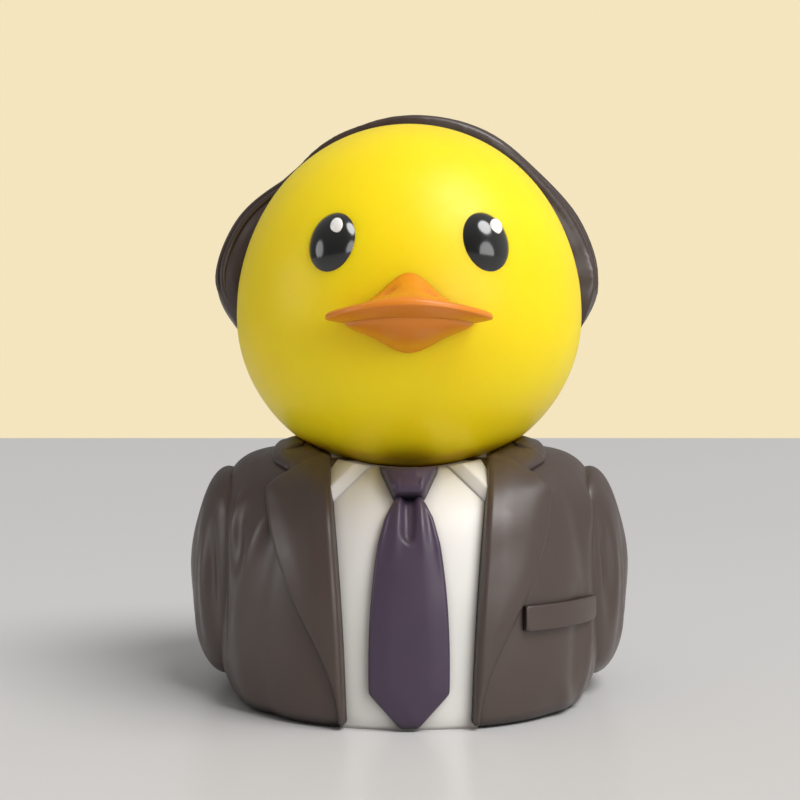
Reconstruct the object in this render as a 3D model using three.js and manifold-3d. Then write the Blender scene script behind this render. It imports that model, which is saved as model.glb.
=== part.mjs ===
// Rubber duck in a business suit: a bath-duck figure about 90 mm tall, glued up from vinyl mouldings.
// Millimetres, +Z up. The duck stands on z = 0, faces -Y, and its left side is at +X.
// The origin is the middle of the flat base.
import * as THREE from "three";
import { mergeVertices } from "three/addons/utils/BufferGeometryUtils.js";
import Module from "manifold-3d";

const wasm = await Module();
wasm.setup();

// Gap left between one moulding and the next, for glue and paint.
const glueGap = 0.3;

// Jacket body: a barrel with a flat base, square shoulders and a front that leans back to the neck.
const bodyHalfWidth = 29.6;
const bodyFront = 30.3;
const bodyBack = 30.5;
const bodyTop = 38;
const waistHeight = 11;
const sideTaper = 0.1;
const endTaper = 0.015;
const baseEdge = 1.4;
const shoulderPower = 7;
const chestPower = 2.8;
const backPower = 4;
const planPower = 2.25;

// Suit front: layers that stand out from, or lie below, the jacket's surface.
const jacketThickness = 1.2;
const shirtThickness = 2;
const openingHalfWidthFoot = 8.6;
const openingHalfWidthNeck = 11.5;
const neckHeight = 36.5;
const lapelThickness = 0.9;
const lapelWidestX = 19.7;
const lapelFootHeight = 2;
const lapelPeakHeight = 31.2;
const notchDepth = 2.7;
const notchHeight = 4;
const leafThickness = 1.5;
const leafInnerX = 5.3;
const leafTipHeight = 29.6;
const frontTopHeight = 34.6;
const tieThickness = 1.1;
const tieHalfWidth = 5.35;
const tieTipHeight = 0.4;
const tieTipHalfWidth = 1.2;
const tieCornerHeight = 5;
const knotHeight = 30.6;
const knotHalfWidth = 4.1;
const knotFootHalfWidth = 1.9;
const knotThickness = 2.4;
const dimpleHalfWidth = 1.05;
const dimpleLength = 6;
const dimpleDepth = 0.7;
const pocketX = [15.4, 26.4];
const pocketZ = [12.8, 16.2];
const pocketThickness = 0.8;

// Jacket collar: a rolled ring round the neck, higher at the nape, and its fall, which lies on the shoulders
// from the lapels' corners round the back, where it is deeper.
const collarRadius = 20.4;
const collarTop = 39.2;
const collarLean = 2.4;
const collarTilt = THREE.MathUtils.degToRad(5);
const fallCornerTurn = THREE.MathUtils.degToRad(66);
const fallCornerRadius = 21.8;
const fallSideRadius = 20.6;
const fallBackRadius = 24;

// Tail: the jacket's back flap, over a short, flat duck's tail. Points are [y, z].
const tailRoot = [12, 15];
const tailBend = [34, 15];
const tailTip = [40, 30];
const tailHalfWidth = 15;
const tailTipHalfWidth = 9;
const tailHalfHeight = 11;
const tailTipHalfHeight = 3.4;

// Wings, as sleeves that lie against the sides.
const wingThickness = 5.8;
const wingCentre = [2, 15];
const wingFrontY = -14;
const wingTipY = 31;
const wingTipHeight = 19;
const wingTopHeight = 34.5;
const wingFootHeight = 1.8;
const wingEmbed = 7;
const wingWrap = 0.011;
const pegRadius = 2.5;
const pegDepth = 6;

// Head: a round ball, a little fuller at the cheeks, on a neck spigot.
const headCentre = new THREE.Vector3(0, -4.5, 60.7);
const headHalfWidth = 25.8;
const headHalfDepth = 26;
const headHalfHeight = 26.6;
const underPower = 2.35;
const cheekFullness = 0.04;
const cheekLevel = -0.25;
const cheekSpread = 0.45;
const spigotRadius = 9;
const spigotHeight = 8;
const shirtBackY = headCentre.y - spigotRadius - 1;

// Hair: a cap over the back of the head, fuller over the ears and thin at the parting. Its outline in the
// side view is a list of [y, z] points from the crown to the nape.
const hairCrown = 2.3;
const hairSide = 3.1;
const hairSideLevel = THREE.MathUtils.degToRad(76);
const hairSideSpread = THREE.MathUtils.degToRad(22);
const hairEdge = 0.8;
const hairTaper = THREE.MathUtils.degToRad(21);
const hairParting = 1.3;
const hairPartingLevel = THREE.MathUtils.degToRad(46);
const hairPartingSpread = THREE.MathUtils.degToRad(13);
const hairRimShare = 0.62;
const hairRimReach = 5.5;
const hairOutline = [
  [-2.5, 26.4],
  [-1.5, 22.6],
  [2, 14],
  [3.2, 8],
  [1, 2],
  [2, -4.5],
  [5.5, -6.5],
  [10, -5.5],
  [17, -11],
  [24, -13],
];

// Locks: broad combed ridges, from the parting over the crown or straight down, to the ears and the nape.
const lockCount = 4;
const lockRadius = 4.5;
const lockProud = 1;
const lockPartingTurn = THREE.MathUtils.degToRad(-30);
const lockEarTurn = THREE.MathUtils.degToRad(97);
const lockNapeTurn = THREE.MathUtils.degToRad(173);

// Eyes: oval beads, sunk in sockets.
const eyeHalfWidth = 4;
const eyeHalfHeight = 4.9;
const eyeHalfDepth = 2.8;
const eyeSink = 1.2;
const eyeTurn = THREE.MathUtils.degToRad(24);
const eyeRise = THREE.MathUtils.degToRad(10);

// Bill: a broad upper half over a shorter lower one, each flat with a ridge along its middle, in one
// moulding with a plug behind it.
const upperBill = { length: 14, halfWidth: 11.5, ridge: 5.2, ridgeTip: 0.7, edge: 1.9 };
const lowerBill = { length: 11, halfWidth: 9, ridge: 2.2, ridgeTip: 0.6, edge: 1.8 };
const billRidgeWidth = 4.6;
const billHeight = -6.5;
const billCurl = 0.004;
const billRootDepth = 7;
const billPlugHalfWidth = 6;
const billPlugHalfHeight = 3;
const billPlugDepth = 6;
const nostrilRadius = 0.7;
const nostrilX = 2.7;
const nostrilReach = 0.36;

const vinyl = (color, roughness) => new THREE.MeshStandardMaterial({ color, roughness, metalness: 0 });
const yellowVinyl = vinyl(0xf4d81e, 0.42);
const orangeVinyl = vinyl(0xe2861f, 0.38);
const blackGloss = vinyl(0x141414, 0.12);
const brownHair = vinyl(0x4a3b38, 0.5);
const brownJacket = vinyl(0x4b4140, 0.55);
const whiteShirt = vinyl(0xe6e3de, 0.5);
const purpleTie = vinyl(0x483c4d, 0.5);

// A closed geometry as a solid that can be cut and joined.
function solid(geometry) {
  const bare = new THREE.BufferGeometry();
  bare.setAttribute("position", geometry.getAttribute("position"));
  bare.setIndex(geometry.getIndex());
  const merged = mergeVertices(bare, 1e-4);
  return new wasm.Manifold(
    new wasm.Mesh({
      numProp: 3,
      vertProperties: merged.getAttribute("position").array,
      triVerts: new Uint32Array(merged.getIndex().array),
    }),
  );
}

// A cut or joined solid as a named mesh.
function piece(name, shape, material) {
  const { vertProperties, triVerts } = shape.getMesh();
  const geometry = new THREE.BufferGeometry();
  geometry.setAttribute("position", new THREE.BufferAttribute(vertProperties, 3));
  geometry.setIndex(new THREE.BufferAttribute(triVerts, 1));
  geometry.computeVertexNormals();
  const mesh = new THREE.Mesh(geometry, material);
  mesh.name = name;
  return mesh;
}

// A closed skin over rings of points. Each ring turns anticlockwise seen from the last ring, and a fan
// closes each end.
function skin(rings) {
  const around = rings[0].length;
  const points = rings.flat();
  const index = [];
  for (let r = 0; r + 1 < rings.length; r++) {
    for (let j = 0; j < around; j++) {
      const a = r * around + j;
      const b = r * around + ((j + 1) % around);
      index.push(a, b, b + around, a, b + around, a + around);
    }
  }
  const closeEnd = (start, turn) => {
    const middle = new THREE.Vector3();
    points.slice(start, start + around).forEach((p) => middle.add(p));
    points.push(middle.divideScalar(around));
    for (let j = 0; j < around; j++) {
      const edge = [start + j, start + ((j + 1) % around)];
      index.push(points.length - 1, edge[turn], edge[1 - turn]);
    }
  };
  closeEnd(0, 1);
  closeEnd((rings.length - 1) * around, 0);
  return new THREE.BufferGeometry().setFromPoints(points).setIndex(index);
}

// A prism with its outline in the front view: x across, z up, from y = near to y = far.
function frontPrism(shape, near, far) {
  const geometry = new THREE.ExtrudeGeometry(shape, {
    depth: far - near,
    bevelEnabled: false,
    curveSegments: 8,
  });
  return solid(geometry.rotateX(Math.PI / 2).translate(0, far, 0));
}

// A prism with its outline in the side view: y across, z up, reaching the same way to each side.
function sidePrism(shape, halfWidth) {
  const geometry = new THREE.ExtrudeGeometry(shape, {
    depth: 2 * halfWidth,
    bevelEnabled: false,
    curveSegments: 8,
  });
  const turn = new THREE.Matrix4().makeBasis(
    new THREE.Vector3(0, 1, 0),
    new THREE.Vector3(0, 0, 1),
    new THREE.Vector3(1, 0, 0),
  );
  return solid(geometry.applyMatrix4(turn).translate(-halfWidth, 0, 0));
}

const signedPower = (value, power) => Math.sign(value) * Math.abs(value) ** power;

// How much of the barrel's full half-size is left at a height: it tapers a little to the base, and closes
// over the top.
function share(z, top, power, taper) {
  if (z <= waistHeight) return 1 - taper * ((waistHeight - z) / waistHeight) ** 3;
  return (1 - ((z - waistHeight) / (top - waistHeight)) ** power) ** (1 / power);
}

// The body barrel, with its sides and top moved in by an inset. The base stays at z = 0.
function barrel(inset, around = 48) {
  const top = bodyTop - inset;
  const levels = [];
  for (let k = 0; k < 3; k++) {
    const turn = (k / 3) * (Math.PI / 2);
    levels.push({ z: baseEdge * (1 - Math.cos(turn)), edge: baseEdge * (1 - Math.sin(turn)) });
  }
  for (const part of [0, 0.4, 0.75]) levels.push({ z: baseEdge + part * (waistHeight - baseEdge), edge: 0 });
  for (let k = 0; k <= 9; k++) {
    const turn = (k / 9) * THREE.MathUtils.degToRad(86);
    levels.push({ z: waistHeight + (top - waistHeight) * Math.sin(turn) ** 0.5, edge: 0 });
  }
  const rings = levels.map(({ z, edge }) => {
    const half = (size, power, taper) => (size - inset) * share(z, top, power, taper) - edge;
    const width = half(bodyHalfWidth, shoulderPower, sideTaper);
    const front = half(bodyFront, chestPower, endTaper);
    const back = half(bodyBack, backPower, sideTaper);
    return Array.from({ length: around }, (_, j) => {
      const turn = (j / around) * 2 * Math.PI;
      const x = width * signedPower(Math.sin(turn), 2 / planPower);
      const y = signedPower(Math.cos(turn), 2 / planPower);
      return new THREE.Vector3(x, y > 0 ? -front * y : -back * y, z);
    });
  });
  return solid(skin(rings));
}

// The head's form, grown outwards by a thickness that may vary with the angle from the crown (polar) and
// the angle round from the face (turn). Its own middle is its origin.
function headForm(growth, around = 36, down = 24) {
  const geometry = new THREE.SphereGeometry(1, around, down);
  geometry.rotateX(Math.PI / 2);
  const place = geometry.getAttribute("position");
  const p = new THREE.Vector3();
  for (let i = 0; i < place.count; i++) {
    p.fromBufferAttribute(place, i);
    const polar = Math.acos(THREE.MathUtils.clamp(p.z, -1, 1));
    const thick = typeof growth === "number" ? growth : growth(polar, Math.atan2(p.x, -p.y));
    const cheeks = 1 + cheekFullness * Math.exp(-(((p.z - cheekLevel) / cheekSpread) ** 2));
    if (p.z < 0) {
      const flat = Math.hypot(p.x, p.y);
      p.divideScalar((flat ** underPower + Math.abs(p.z) ** underPower) ** (1 / underPower));
    }
    place.setXYZ(
      i,
      p.x * (headHalfWidth * cheeks + thick),
      p.y * (headHalfDepth * cheeks + thick),
      p.z * (headHalfHeight + thick),
    );
  }
  return geometry;
}

// Room for the head in what it sits on, drawn out to the front so that the neckline passes under the chin.
function headRoom() {
  const room = headForm(glueGap);
  const place = room.getAttribute("position");
  for (let i = 0; i < place.count; i++) {
    if (place.getY(i) < -1e-6) place.setY(i, place.getY(i) - bodyFront);
  }
  return solid(room.translate(...headCentre.toArray()));
}

// Half the width of the jacket's front opening, less a gap: narrow at the foot, wider at the neck.
function openingPrism(gap) {
  const foot = openingHalfWidthFoot - gap;
  const neck = openingHalfWidthNeck - gap;
  const shape = new THREE.Shape();
  shape.moveTo(-foot, -1);
  shape.lineTo(foot, -1);
  shape.quadraticCurveTo(foot + 0.3, neckHeight / 2, neck, neckHeight);
  shape.lineTo(neck + 1.5, bodyTop + 8);
  shape.lineTo(-neck - 1.5, bodyTop + 8);
  shape.lineTo(-neck, neckHeight);
  shape.quadraticCurveTo(-foot - 0.3, neckHeight / 2, -foot, -1);
  return frontPrism(shape, -bodyFront - 10, shirtBackY + glueGap - gap);
}

// One lapel with its half of the collar, on one side of the front.
function lapel(side) {
  const shape = new THREE.Shape();
  const at = (x, z) => [side * x, z];
  const inner = openingHalfWidthFoot - 2;
  shape.moveTo(...at(inner, lapelFootHeight));
  shape.lineTo(...at(openingHalfWidthFoot + 0.6, lapelFootHeight));
  shape.bezierCurveTo(
    ...at(lapelWidestX - 6.6, lapelFootHeight + 9),
    ...at(lapelWidestX + 0.1, lapelPeakHeight - 12),
    ...at(lapelWidestX, lapelPeakHeight - 5),
  );
  shape.lineTo(...at(lapelWidestX + 0.3, lapelPeakHeight));
  shape.lineTo(...at(lapelWidestX - notchDepth, lapelPeakHeight + notchHeight * 0.65));
  shape.lineTo(...at(lapelWidestX + 0.3, lapelPeakHeight + notchHeight));
  shape.lineTo(...at(lapelWidestX - 1, bodyTop + 2));
  shape.lineTo(...at(inner, bodyTop + 2));
  return frontPrism(shape, -bodyFront - 10, headCentre.y).intersect(barrel(-lapelThickness));
}

// The breast pocket's welt, on the duck's left.
function pocketWelt() {
  const shape = new THREE.Shape();
  shape.moveTo(pocketX[0], pocketZ[0]);
  shape.lineTo(pocketX[1], pocketZ[0]);
  shape.lineTo(pocketX[1], pocketZ[1]);
  shape.lineTo(pocketX[0], pocketZ[1]);
  return frontPrism(shape, -bodyFront - 10, headCentre.y).intersect(barrel(-pocketThickness));
}

// The jacket's collar: a solid of revolution round the neck. The head's room makes it a ring.
function neckCollar() {
  const rim = collarTop - bodyTop;
  const profile = [
    [0, -4],
    [collarRadius, -4],
    [collarRadius, 0],
    [collarRadius - collarLean * 0.3, rim * 0.6],
    [collarRadius - collarLean * 0.65, rim],
    [collarRadius - collarLean, rim * 1.1],
    [0, rim * 1.1],
  ].map(([radius, z]) => new THREE.Vector2(radius, z));
  const ring = new THREE.LatheGeometry(profile, 48).rotateX(Math.PI / 2);
  ring.rotateX(collarTilt).translate(0, headCentre.y, bodyTop - 0.6);
  return solid(ring);
}

// The collar's fall: a layer as thick as the lapels, inside an outline in plan round the neck. The middle of
// the front is left open.
function collarFall() {
  const around = 36;
  const points = Array.from({ length: around }, (_, k) => {
    const turn = ((k + 0.5) / around) * 2 * Math.PI;
    const fromFront = Math.min(turn, 2 * Math.PI - turn);
    const past = fromFront - fallCornerTurn;
    const corner = THREE.MathUtils.smoothstep(past, 0, 0.4);
    const side = THREE.MathUtils.lerp(fallCornerRadius, fallSideRadius, corner);
    const back = (fallBackRadius - fallSideRadius) * THREE.MathUtils.smoothstep(past, 0.6, 1.6);
    const radius = past < 0 ? spigotRadius : side + back;
    return new THREE.Vector2(radius * Math.sin(turn), headCentre.y - radius * Math.cos(turn));
  });
  const prism = new THREE.ExtrudeGeometry(new THREE.Shape(points), {
    depth: bodyTop + 2 - waistHeight,
    bevelEnabled: false,
  });
  return solid(prism.translate(0, 0, waistHeight)).intersect(barrel(-lapelThickness));
}

// The tail: flat rings along a curve that leaves the back level and turns up to a rounded tip.
function tail() {
  const [root, bend, tip] = [tailRoot, tailBend, tailTip].map(([y, z]) => new THREE.Vector2(y, z));
  const spine = new THREE.QuadraticBezierCurve(root, bend, tip);
  const steps = 11;
  const around = 24;
  const rings = [];
  for (let k = 0; k <= steps; k++) {
    const t = Math.sin((k / steps) * (Math.PI / 2));
    const middle = spine.getPoint(t);
    const along = spine.getTangent(t);
    const roundTip = (1 - (0.995 * t) ** 6) ** 0.5;
    const width = roundTip * THREE.MathUtils.lerp(tailHalfWidth, tailTipHalfWidth, t ** 1.4);
    const height = roundTip * THREE.MathUtils.lerp(tailHalfHeight, tailTipHalfHeight, t);
    rings.push(
      Array.from({ length: around }, (_, j) => {
        const turn = (j / around) * 2 * Math.PI;
        const up = height * Math.sin(turn);
        return new THREE.Vector3(-width * Math.cos(turn), middle.x - up * along.y, middle.y + up * along.x);
      }),
    );
  }
  return solid(skin(rings));
}

// The wing pegs, and the holes for them with a gap.
function wingPeg(side, gap) {
  const length = pegDepth + wingThickness / 2 + gap;
  const peg = new THREE.CylinderGeometry(pegRadius + gap, pegRadius + gap, length, 20).rotateZ(Math.PI / 2);
  peg.translate(bodyHalfWidth - pegDepth - gap + length / 2, wingCentre[0], wingCentre[1]);
  return solid(side > 0 ? peg : peg.rotateZ(Math.PI).translate(0, 2 * wingCentre[0], 0));
}

function jacket() {
  const core = barrel(jacketThickness + shirtThickness + glueGap);
  const spigot = new THREE.CylinderGeometry(spigotRadius, spigotRadius, 2 * spigotHeight, 32);
  spigot.rotateX(Math.PI / 2).translate(0, headCentre.y, headCentre.z - headHalfHeight);
  return barrel(0)
    .add(neckCollar())
    .add(collarFall())
    .add(lapel(1))
    .add(lapel(-1))
    .add(pocketWelt())
    .add(tail())
    .subtract(openingPrism(0))
    .add(core)
    .subtract(headRoom())
    .add(solid(spigot))
    .subtract(wingPeg(1, glueGap))
    .subtract(wingPeg(-1, glueGap));
}

// One leaf of the shirt's collar.
function collarLeaf(side) {
  const shape = new THREE.Shape();
  const at = (x, z) => [side * x, z];
  shape.moveTo(...at(openingHalfWidthNeck + 2, leafTipHeight + 0.8));
  shape.lineTo(...at(openingHalfWidthNeck - 1.2, leafTipHeight));
  shape.lineTo(...at(leafInnerX, frontTopHeight));
  shape.lineTo(...at(leafInnerX - 0.4, bodyTop + 2));
  shape.lineTo(...at(openingHalfWidthNeck + 3, bodyTop + 2));
  return frontPrism(shape, -bodyFront - 10, shirtBackY).intersect(barrel(jacketThickness - leafThickness));
}

function shirtFront() {
  return barrel(jacketThickness)
    .add(collarLeaf(1))
    .add(collarLeaf(-1))
    .intersect(openingPrism(glueGap))
    .subtract(barrel(jacketThickness + shirtThickness))
    .subtract(headRoom());
}

// The dimple under the knot: a long hollow along the blade's surface.
function tieDimple(inset) {
  const y = (z) => -(bodyFront - inset) * share(z, bodyTop - inset, chestPower, endTaper);
  const [low, high] = [knotHeight - dimpleLength, knotHeight];
  const middle = (low + high) / 2;
  return solid(
    new THREE.SphereGeometry(1, 12, 10)
      .scale(dimpleHalfWidth, dimpleDepth, dimpleLength / 2)
      .rotateX(-Math.atan((y(high) - y(low)) / dimpleLength))
      .translate(0, y(middle), middle),
  );
}

// The necktie's layers: the blade, with a dimple at its top, and the knot.
function necktie() {
  const back = jacketThickness - glueGap;
  const layer = (points, thickness) => {
    const outline = [...points, ...points.toReversed().map(([x, z]) => [-x, z])];
    const shape = new THREE.Shape(outline.map(([x, z]) => new THREE.Vector2(x, z)));
    return frontPrism(shape, -bodyFront - 10, shirtBackY).intersect(barrel(back - thickness));
  };
  const bladeEdge = new THREE.CubicBezierCurve(
    new THREE.Vector2(tieHalfWidth - 0.1, tieCornerHeight),
    new THREE.Vector2(tieHalfWidth + 0.15, tieCornerHeight + 11),
    new THREE.Vector2(tieHalfWidth - 1, knotHeight - 8),
    new THREE.Vector2(knotFootHalfWidth - 0.2, knotHeight + 0.2),
  );
  const blade = layer(
    [[tieTipHalfWidth, tieTipHeight], ...bladeEdge.getPoints(9).map((p) => [p.x, p.y])],
    tieThickness,
  );
  const knot = layer(
    [
      [knotFootHalfWidth, knotHeight],
      [knotHalfWidth, frontTopHeight],
      [knotHalfWidth, bodyTop + 4],
    ],
    knotThickness,
  );
  return blade
    .subtract(tieDimple(back - tieThickness))
    .add(knot)
    .subtract(barrel(back))
    .subtract(headRoom());
}

// A wing: a pillow over a teardrop outline in the side view, bent to lie along the body's side.
function wing() {
  const outline = new THREE.CatmullRomCurve3(
    [
      [wingFrontY + 2.5, wingTopHeight - 4],
      [-2, wingTopHeight],
      [12, wingTopHeight - 6],
      [wingTipY, wingTipHeight],
      [22, wingFootHeight + 6],
      [6, wingFootHeight],
      [wingFrontY + 4, wingFootHeight + 3],
      [wingFrontY, wingCentre[1]],
    ].map(([y, z]) => new THREE.Vector3(y, z, 0)),
    true,
    "centripetal",
  ).getSpacedPoints(40);
  outline.pop();
  const ring = (scale, out) =>
    outline.map((p) => {
      const y = wingCentre[0] + (p.x - wingCentre[0]) * scale;
      const z = wingCentre[1] + (p.y - wingCentre[1]) * scale;
      return new THREE.Vector3(bodyHalfWidth - wingWrap * (y - wingCentre[0]) ** 2 + out, y, z);
    });
  const rings = [ring(0.94, -wingEmbed), ring(1, -1)];
  for (let k = 1; k <= 6; k++) {
    const turn = (k / 6) * THREE.MathUtils.degToRad(80);
    rings.push(ring(Math.cos(turn) ** 0.9, wingThickness * Math.sin(turn) - 1 + k / 6));
  }
  return solid(skin(rings.map((r) => r.toReversed())))
    .subtract(barrel(-glueGap))
    .add(wingPeg(1, 0));
}

// A point of the bill's skin at a share t of a half's length and an angle round it. The half lies over
// (side 1) or under (side -1) the mouth line, and reaches a little past it into the other.
function billPoint(t, turn, half, side) {
  const roundTip = (1 - t ** 2.8) ** 0.5;
  const reach = (t * half.length) / upperBill.length;
  const mouth = billHeight - 1.6 * reach + 2.4 * reach ** 3;
  const width = half.halfWidth * roundTip * (0.8 + 0.2 * Math.sin((Math.PI / 2) * Math.min(1, t / 0.6)));
  const x = width * Math.cos(turn);
  const ridge = THREE.MathUtils.lerp(half.ridge, half.ridgeTip, t ** 0.8) * roundTip ** 0.5;
  const body = half.edge * roundTip + ridge * Math.exp(-((x / billRidgeWidth) ** 2));
  const up = Math.sin(turn);
  const rise = up * side > 0 ? body : 0.5 * roundTip;
  const y = -headHalfDepth - t * half.length;
  return new THREE.Vector3(x, y, mouth + rise * signedPower(up, 0.7) + billCurl * x * x);
}

// One half of the bill: rings from inside the head to a rounded tip.
function billHalf(half, side) {
  const steps = 10;
  const around = 24;
  const rings = [];
  for (let k = -1; k <= steps; k++) {
    const t = k < 0 ? 0 : 0.998 * Math.sin((k / steps) * (Math.PI / 2));
    const ring = Array.from({ length: around }, (_, j) =>
      billPoint(t, (j / around) * 2 * Math.PI, half, side),
    );
    if (k < 0) ring.forEach((point) => (point.y += billRootDepth));
    rings.push(ring);
  }
  return solid(skin(rings));
}

// The plug behind the bill, or the socket for it with a gap.
function billPlug(gap) {
  const plug = new THREE.CylinderGeometry(1, 1, 1, 24).rotateX(Math.PI / 2);
  plug.scale(billPlugHalfWidth + gap, billPlugDepth + 4 + gap, billPlugHalfHeight + gap);
  return solid(plug.translate(0, -headHalfDepth + (billPlugDepth - 4 + gap) / 2, billHeight));
}

function bill() {
  const halfWidth = billPoint(nostrilReach, 0, upperBill, 1).x;
  const place = billPoint(nostrilReach, Math.acos(nostrilX / halfWidth), upperBill, 1);
  const nostril = (side) =>
    solid(
      new THREE.SphereGeometry(nostrilRadius, 12, 8)
        .scale(0.8, 1.8, 1)
        .translate(side * nostrilX, place.y, place.z),
    );
  return billHalf(upperBill, 1)
    .add(billHalf(lowerBill, -1))
    .subtract(solid(headForm(glueGap)))
    .add(billPlug(0))
    .subtract(nostril(1))
    .subtract(nostril(-1));
}

// Where an eye sits: on the head's surface, a little sunk, and facing straight out of it.
function eyePlace(side) {
  const out = new THREE.Vector3(0, -1, 0)
    .applyAxisAngle(new THREE.Vector3(1, 0, 0), -eyeRise)
    .applyAxisAngle(new THREE.Vector3(0, 0, 1), side * eyeTurn);
  const surface = headHalfDepth - eyeSink;
  const turn = new THREE.Quaternion().setFromUnitVectors(new THREE.Vector3(0, -1, 0), out);
  return new THREE.Matrix4().compose(out.multiplyScalar(surface), turn, new THREE.Vector3(1, 1, 1));
}

function eyeBead(grow) {
  return new THREE.SphereGeometry(1, 16, 10)
    .rotateX(Math.PI / 2)
    .scale(eyeHalfWidth + grow, eyeHalfDepth + grow, eyeHalfHeight + grow);
}

function head() {
  const bore = new THREE.CylinderGeometry(
    spigotRadius + glueGap,
    spigotRadius + glueGap,
    2 * (spigotHeight + glueGap),
    32,
  );
  bore.rotateX(Math.PI / 2).translate(0, 0, -headHalfHeight);
  return solid(headForm(0))
    .subtract(billPlug(glueGap))
    .subtract(solid(eyeBead(glueGap).applyMatrix4(eyePlace(1))))
    .subtract(solid(eyeBead(glueGap).applyMatrix4(eyePlace(-1))))
    .subtract(solid(bore));
}

// A direction at an angle from straight back, turned round that axis from the crown to the duck's left.
function backDirection(angle, turn) {
  return new THREE.Vector3(
    Math.sin(angle) * Math.sin(turn),
    Math.cos(angle),
    Math.sin(angle) * Math.cos(turn),
  );
}

// The angle from straight back to the hair's edge, at an angle round that axis from the crown.
function hairEdgeAngle(turn) {
  let last = null;
  for (const [y, z] of hairOutline) {
    const flat = new THREE.Vector2(y / headHalfDepth, z / headHalfHeight);
    const x = Math.max(1 - flat.lengthSq(), 0) ** 0.5;
    const p = new THREE.Vector3(x, flat.x, flat.y).normalize();
    const here = { turn: Math.atan2(p.x, p.z), angle: Math.acos(p.y) };
    if (last && here.turn < last.turn) here.turn = last.turn + 1e-3;
    if (here.turn >= Math.abs(turn)) {
      if (!last) return here.angle;
      const part = (Math.abs(turn) - last.turn) / (here.turn - last.turn);
      return THREE.MathUtils.lerp(last.angle, here.angle, part);
    }
    last = here;
  }
  return last.angle;
}

// Directions along one lock, down one side. u runs from 0 at the front to 1 at the nape: the front locks
// follow the hair's edge, and those behind run straight.
function lockPath(u, side) {
  const parting = lockPartingTurn + THREE.MathUtils.degToRad(8) * u;
  const lower = side * THREE.MathUtils.lerp(lockEarTurn, lockNapeTurn, u);
  const start = backDirection(hairEdgeAngle(parting) * (0.975 - 0.7 * u), parting);
  const end = backDirection(hairEdgeAngle(lower) * 0.96, lower);
  const angle = start.angleTo(end);
  const steps = 24;
  return Array.from({ length: steps + 1 }, (_, k) => {
    const t = k / steps;
    const turn = THREE.MathUtils.lerp(parting, lower, t);
    const straight = start.clone().multiplyScalar(Math.sin((1 - t) * angle) / Math.sin(angle));
    straight.addScaledVector(end, Math.sin(t * angle) / Math.sin(angle));
    const front = backDirection(hairEdgeAngle(turn) * 0.975, turn);
    const fade = Math.sin(Math.PI * THREE.MathUtils.clamp(t, 0.03, 0.97)) ** 0.35;
    return { p: front.lerp(straight, THREE.MathUtils.smoothstep(u, 0, 0.4)).normalize(), fade };
  });
}

const lockPlaces = [1, -1].flatMap((side) =>
  Array.from({ length: lockCount }, (_, k) => lockPath((k + 0.5) / lockCount, side)).flat(),
);

// The hair's thickness: even over the crown, full over the ears, and less at its edges, with the locks
// standing up from it below the crown. The parting is on the duck's right.
function hairThickness(polar, turn) {
  const bump = (level, spread) => Math.exp(-(((polar - level) / spread) ** 2));
  const level = Math.sin(polar);
  const p = new THREE.Vector3(level * Math.sin(turn), -level * Math.cos(turn), Math.cos(polar));
  const full = hairCrown + hairSide * bump(hairSideLevel, hairSideSpread);
  const right = THREE.MathUtils.smoothstep(-Math.sin(turn), 0, 0.6);
  const parted = full - hairParting * (0.25 + 0.75 * right) * bump(hairPartingLevel, hairPartingSpread);
  const reach = THREE.MathUtils.degToRad(101 + 17 * Math.max(-Math.cos(turn), 0));
  const edge = THREE.MathUtils.smoothstep(reach - polar, 0, hairTaper);
  const behind = (hairEdgeAngle(Math.atan2(p.x, p.z)) - Math.acos(p.y)) * headHalfDepth;
  const rim = THREE.MathUtils.lerp(hairRimShare, 1, THREE.MathUtils.smoothstep(behind, 0, hairRimReach));
  const lock = lockPlaces.map((place) => {
    const across = Math.min(place.p.distanceTo(p) * headHalfDepth, lockRadius);
    return Math.sqrt(lockRadius ** 2 - across ** 2) - lockRadius + lockProud - 1.5 * (1 - place.fade);
  });
  const crown = THREE.MathUtils.smoothstep(polar, 0.05, 0.3);
  return THREE.MathUtils.lerp(hairEdge, parted, edge ** 0.5) * rim + crown * Math.max(0, ...lock);
}

function hair() {
  const shape = new THREE.Shape();
  shape.moveTo(hairOutline[0][0], headHalfHeight + 6);
  shape.lineTo(...hairOutline[0]);
  shape.splineThru(hairOutline.slice(1).map(([y, z]) => new THREE.Vector2(y, z)));
  shape.lineTo(headHalfDepth + 8, hairOutline.at(-1)[1]);
  shape.lineTo(headHalfDepth + 8, headHalfHeight + 6);
  return solid(headForm(hairThickness, 48, 30))
    .intersect(sidePrism(shape, headHalfWidth + 8))
    .subtract(solid(headForm(glueGap)));
}

const duck = new THREE.Group();

const bodyGroup = new THREE.Group();
bodyGroup.add(piece("jacket_body", jacket(), brownJacket));
bodyGroup.add(piece("shirt_front", shirtFront(), whiteShirt));
bodyGroup.add(piece("necktie", necktie(), purpleTie));
const leftWing = piece("left_wing", wing(), brownJacket);
const rightWing = piece("right_wing", wing(), brownJacket);
rightWing.scale.x = -1;
bodyGroup.add(leftWing, rightWing);
duck.add(bodyGroup);

const headGroup = new THREE.Group();
headGroup.position.copy(headCentre);
headGroup.add(piece("head", head(), yellowVinyl));
headGroup.add(piece("bill", bill(), orangeVinyl));
headGroup.add(piece("hair", hair(), brownHair));
for (const [name, side] of [
  ["left_eye", 1],
  ["right_eye", -1],
]) {
  const eye = piece(name, solid(eyeBead(0)), blackGloss);
  eye.applyMatrix4(eyePlace(side));
  headGroup.add(eye);
}
duck.add(headGroup);

export default duck;
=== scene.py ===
import math

import bpy
import numpy as np
from mathutils import Matrix, Vector, geometry


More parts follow.
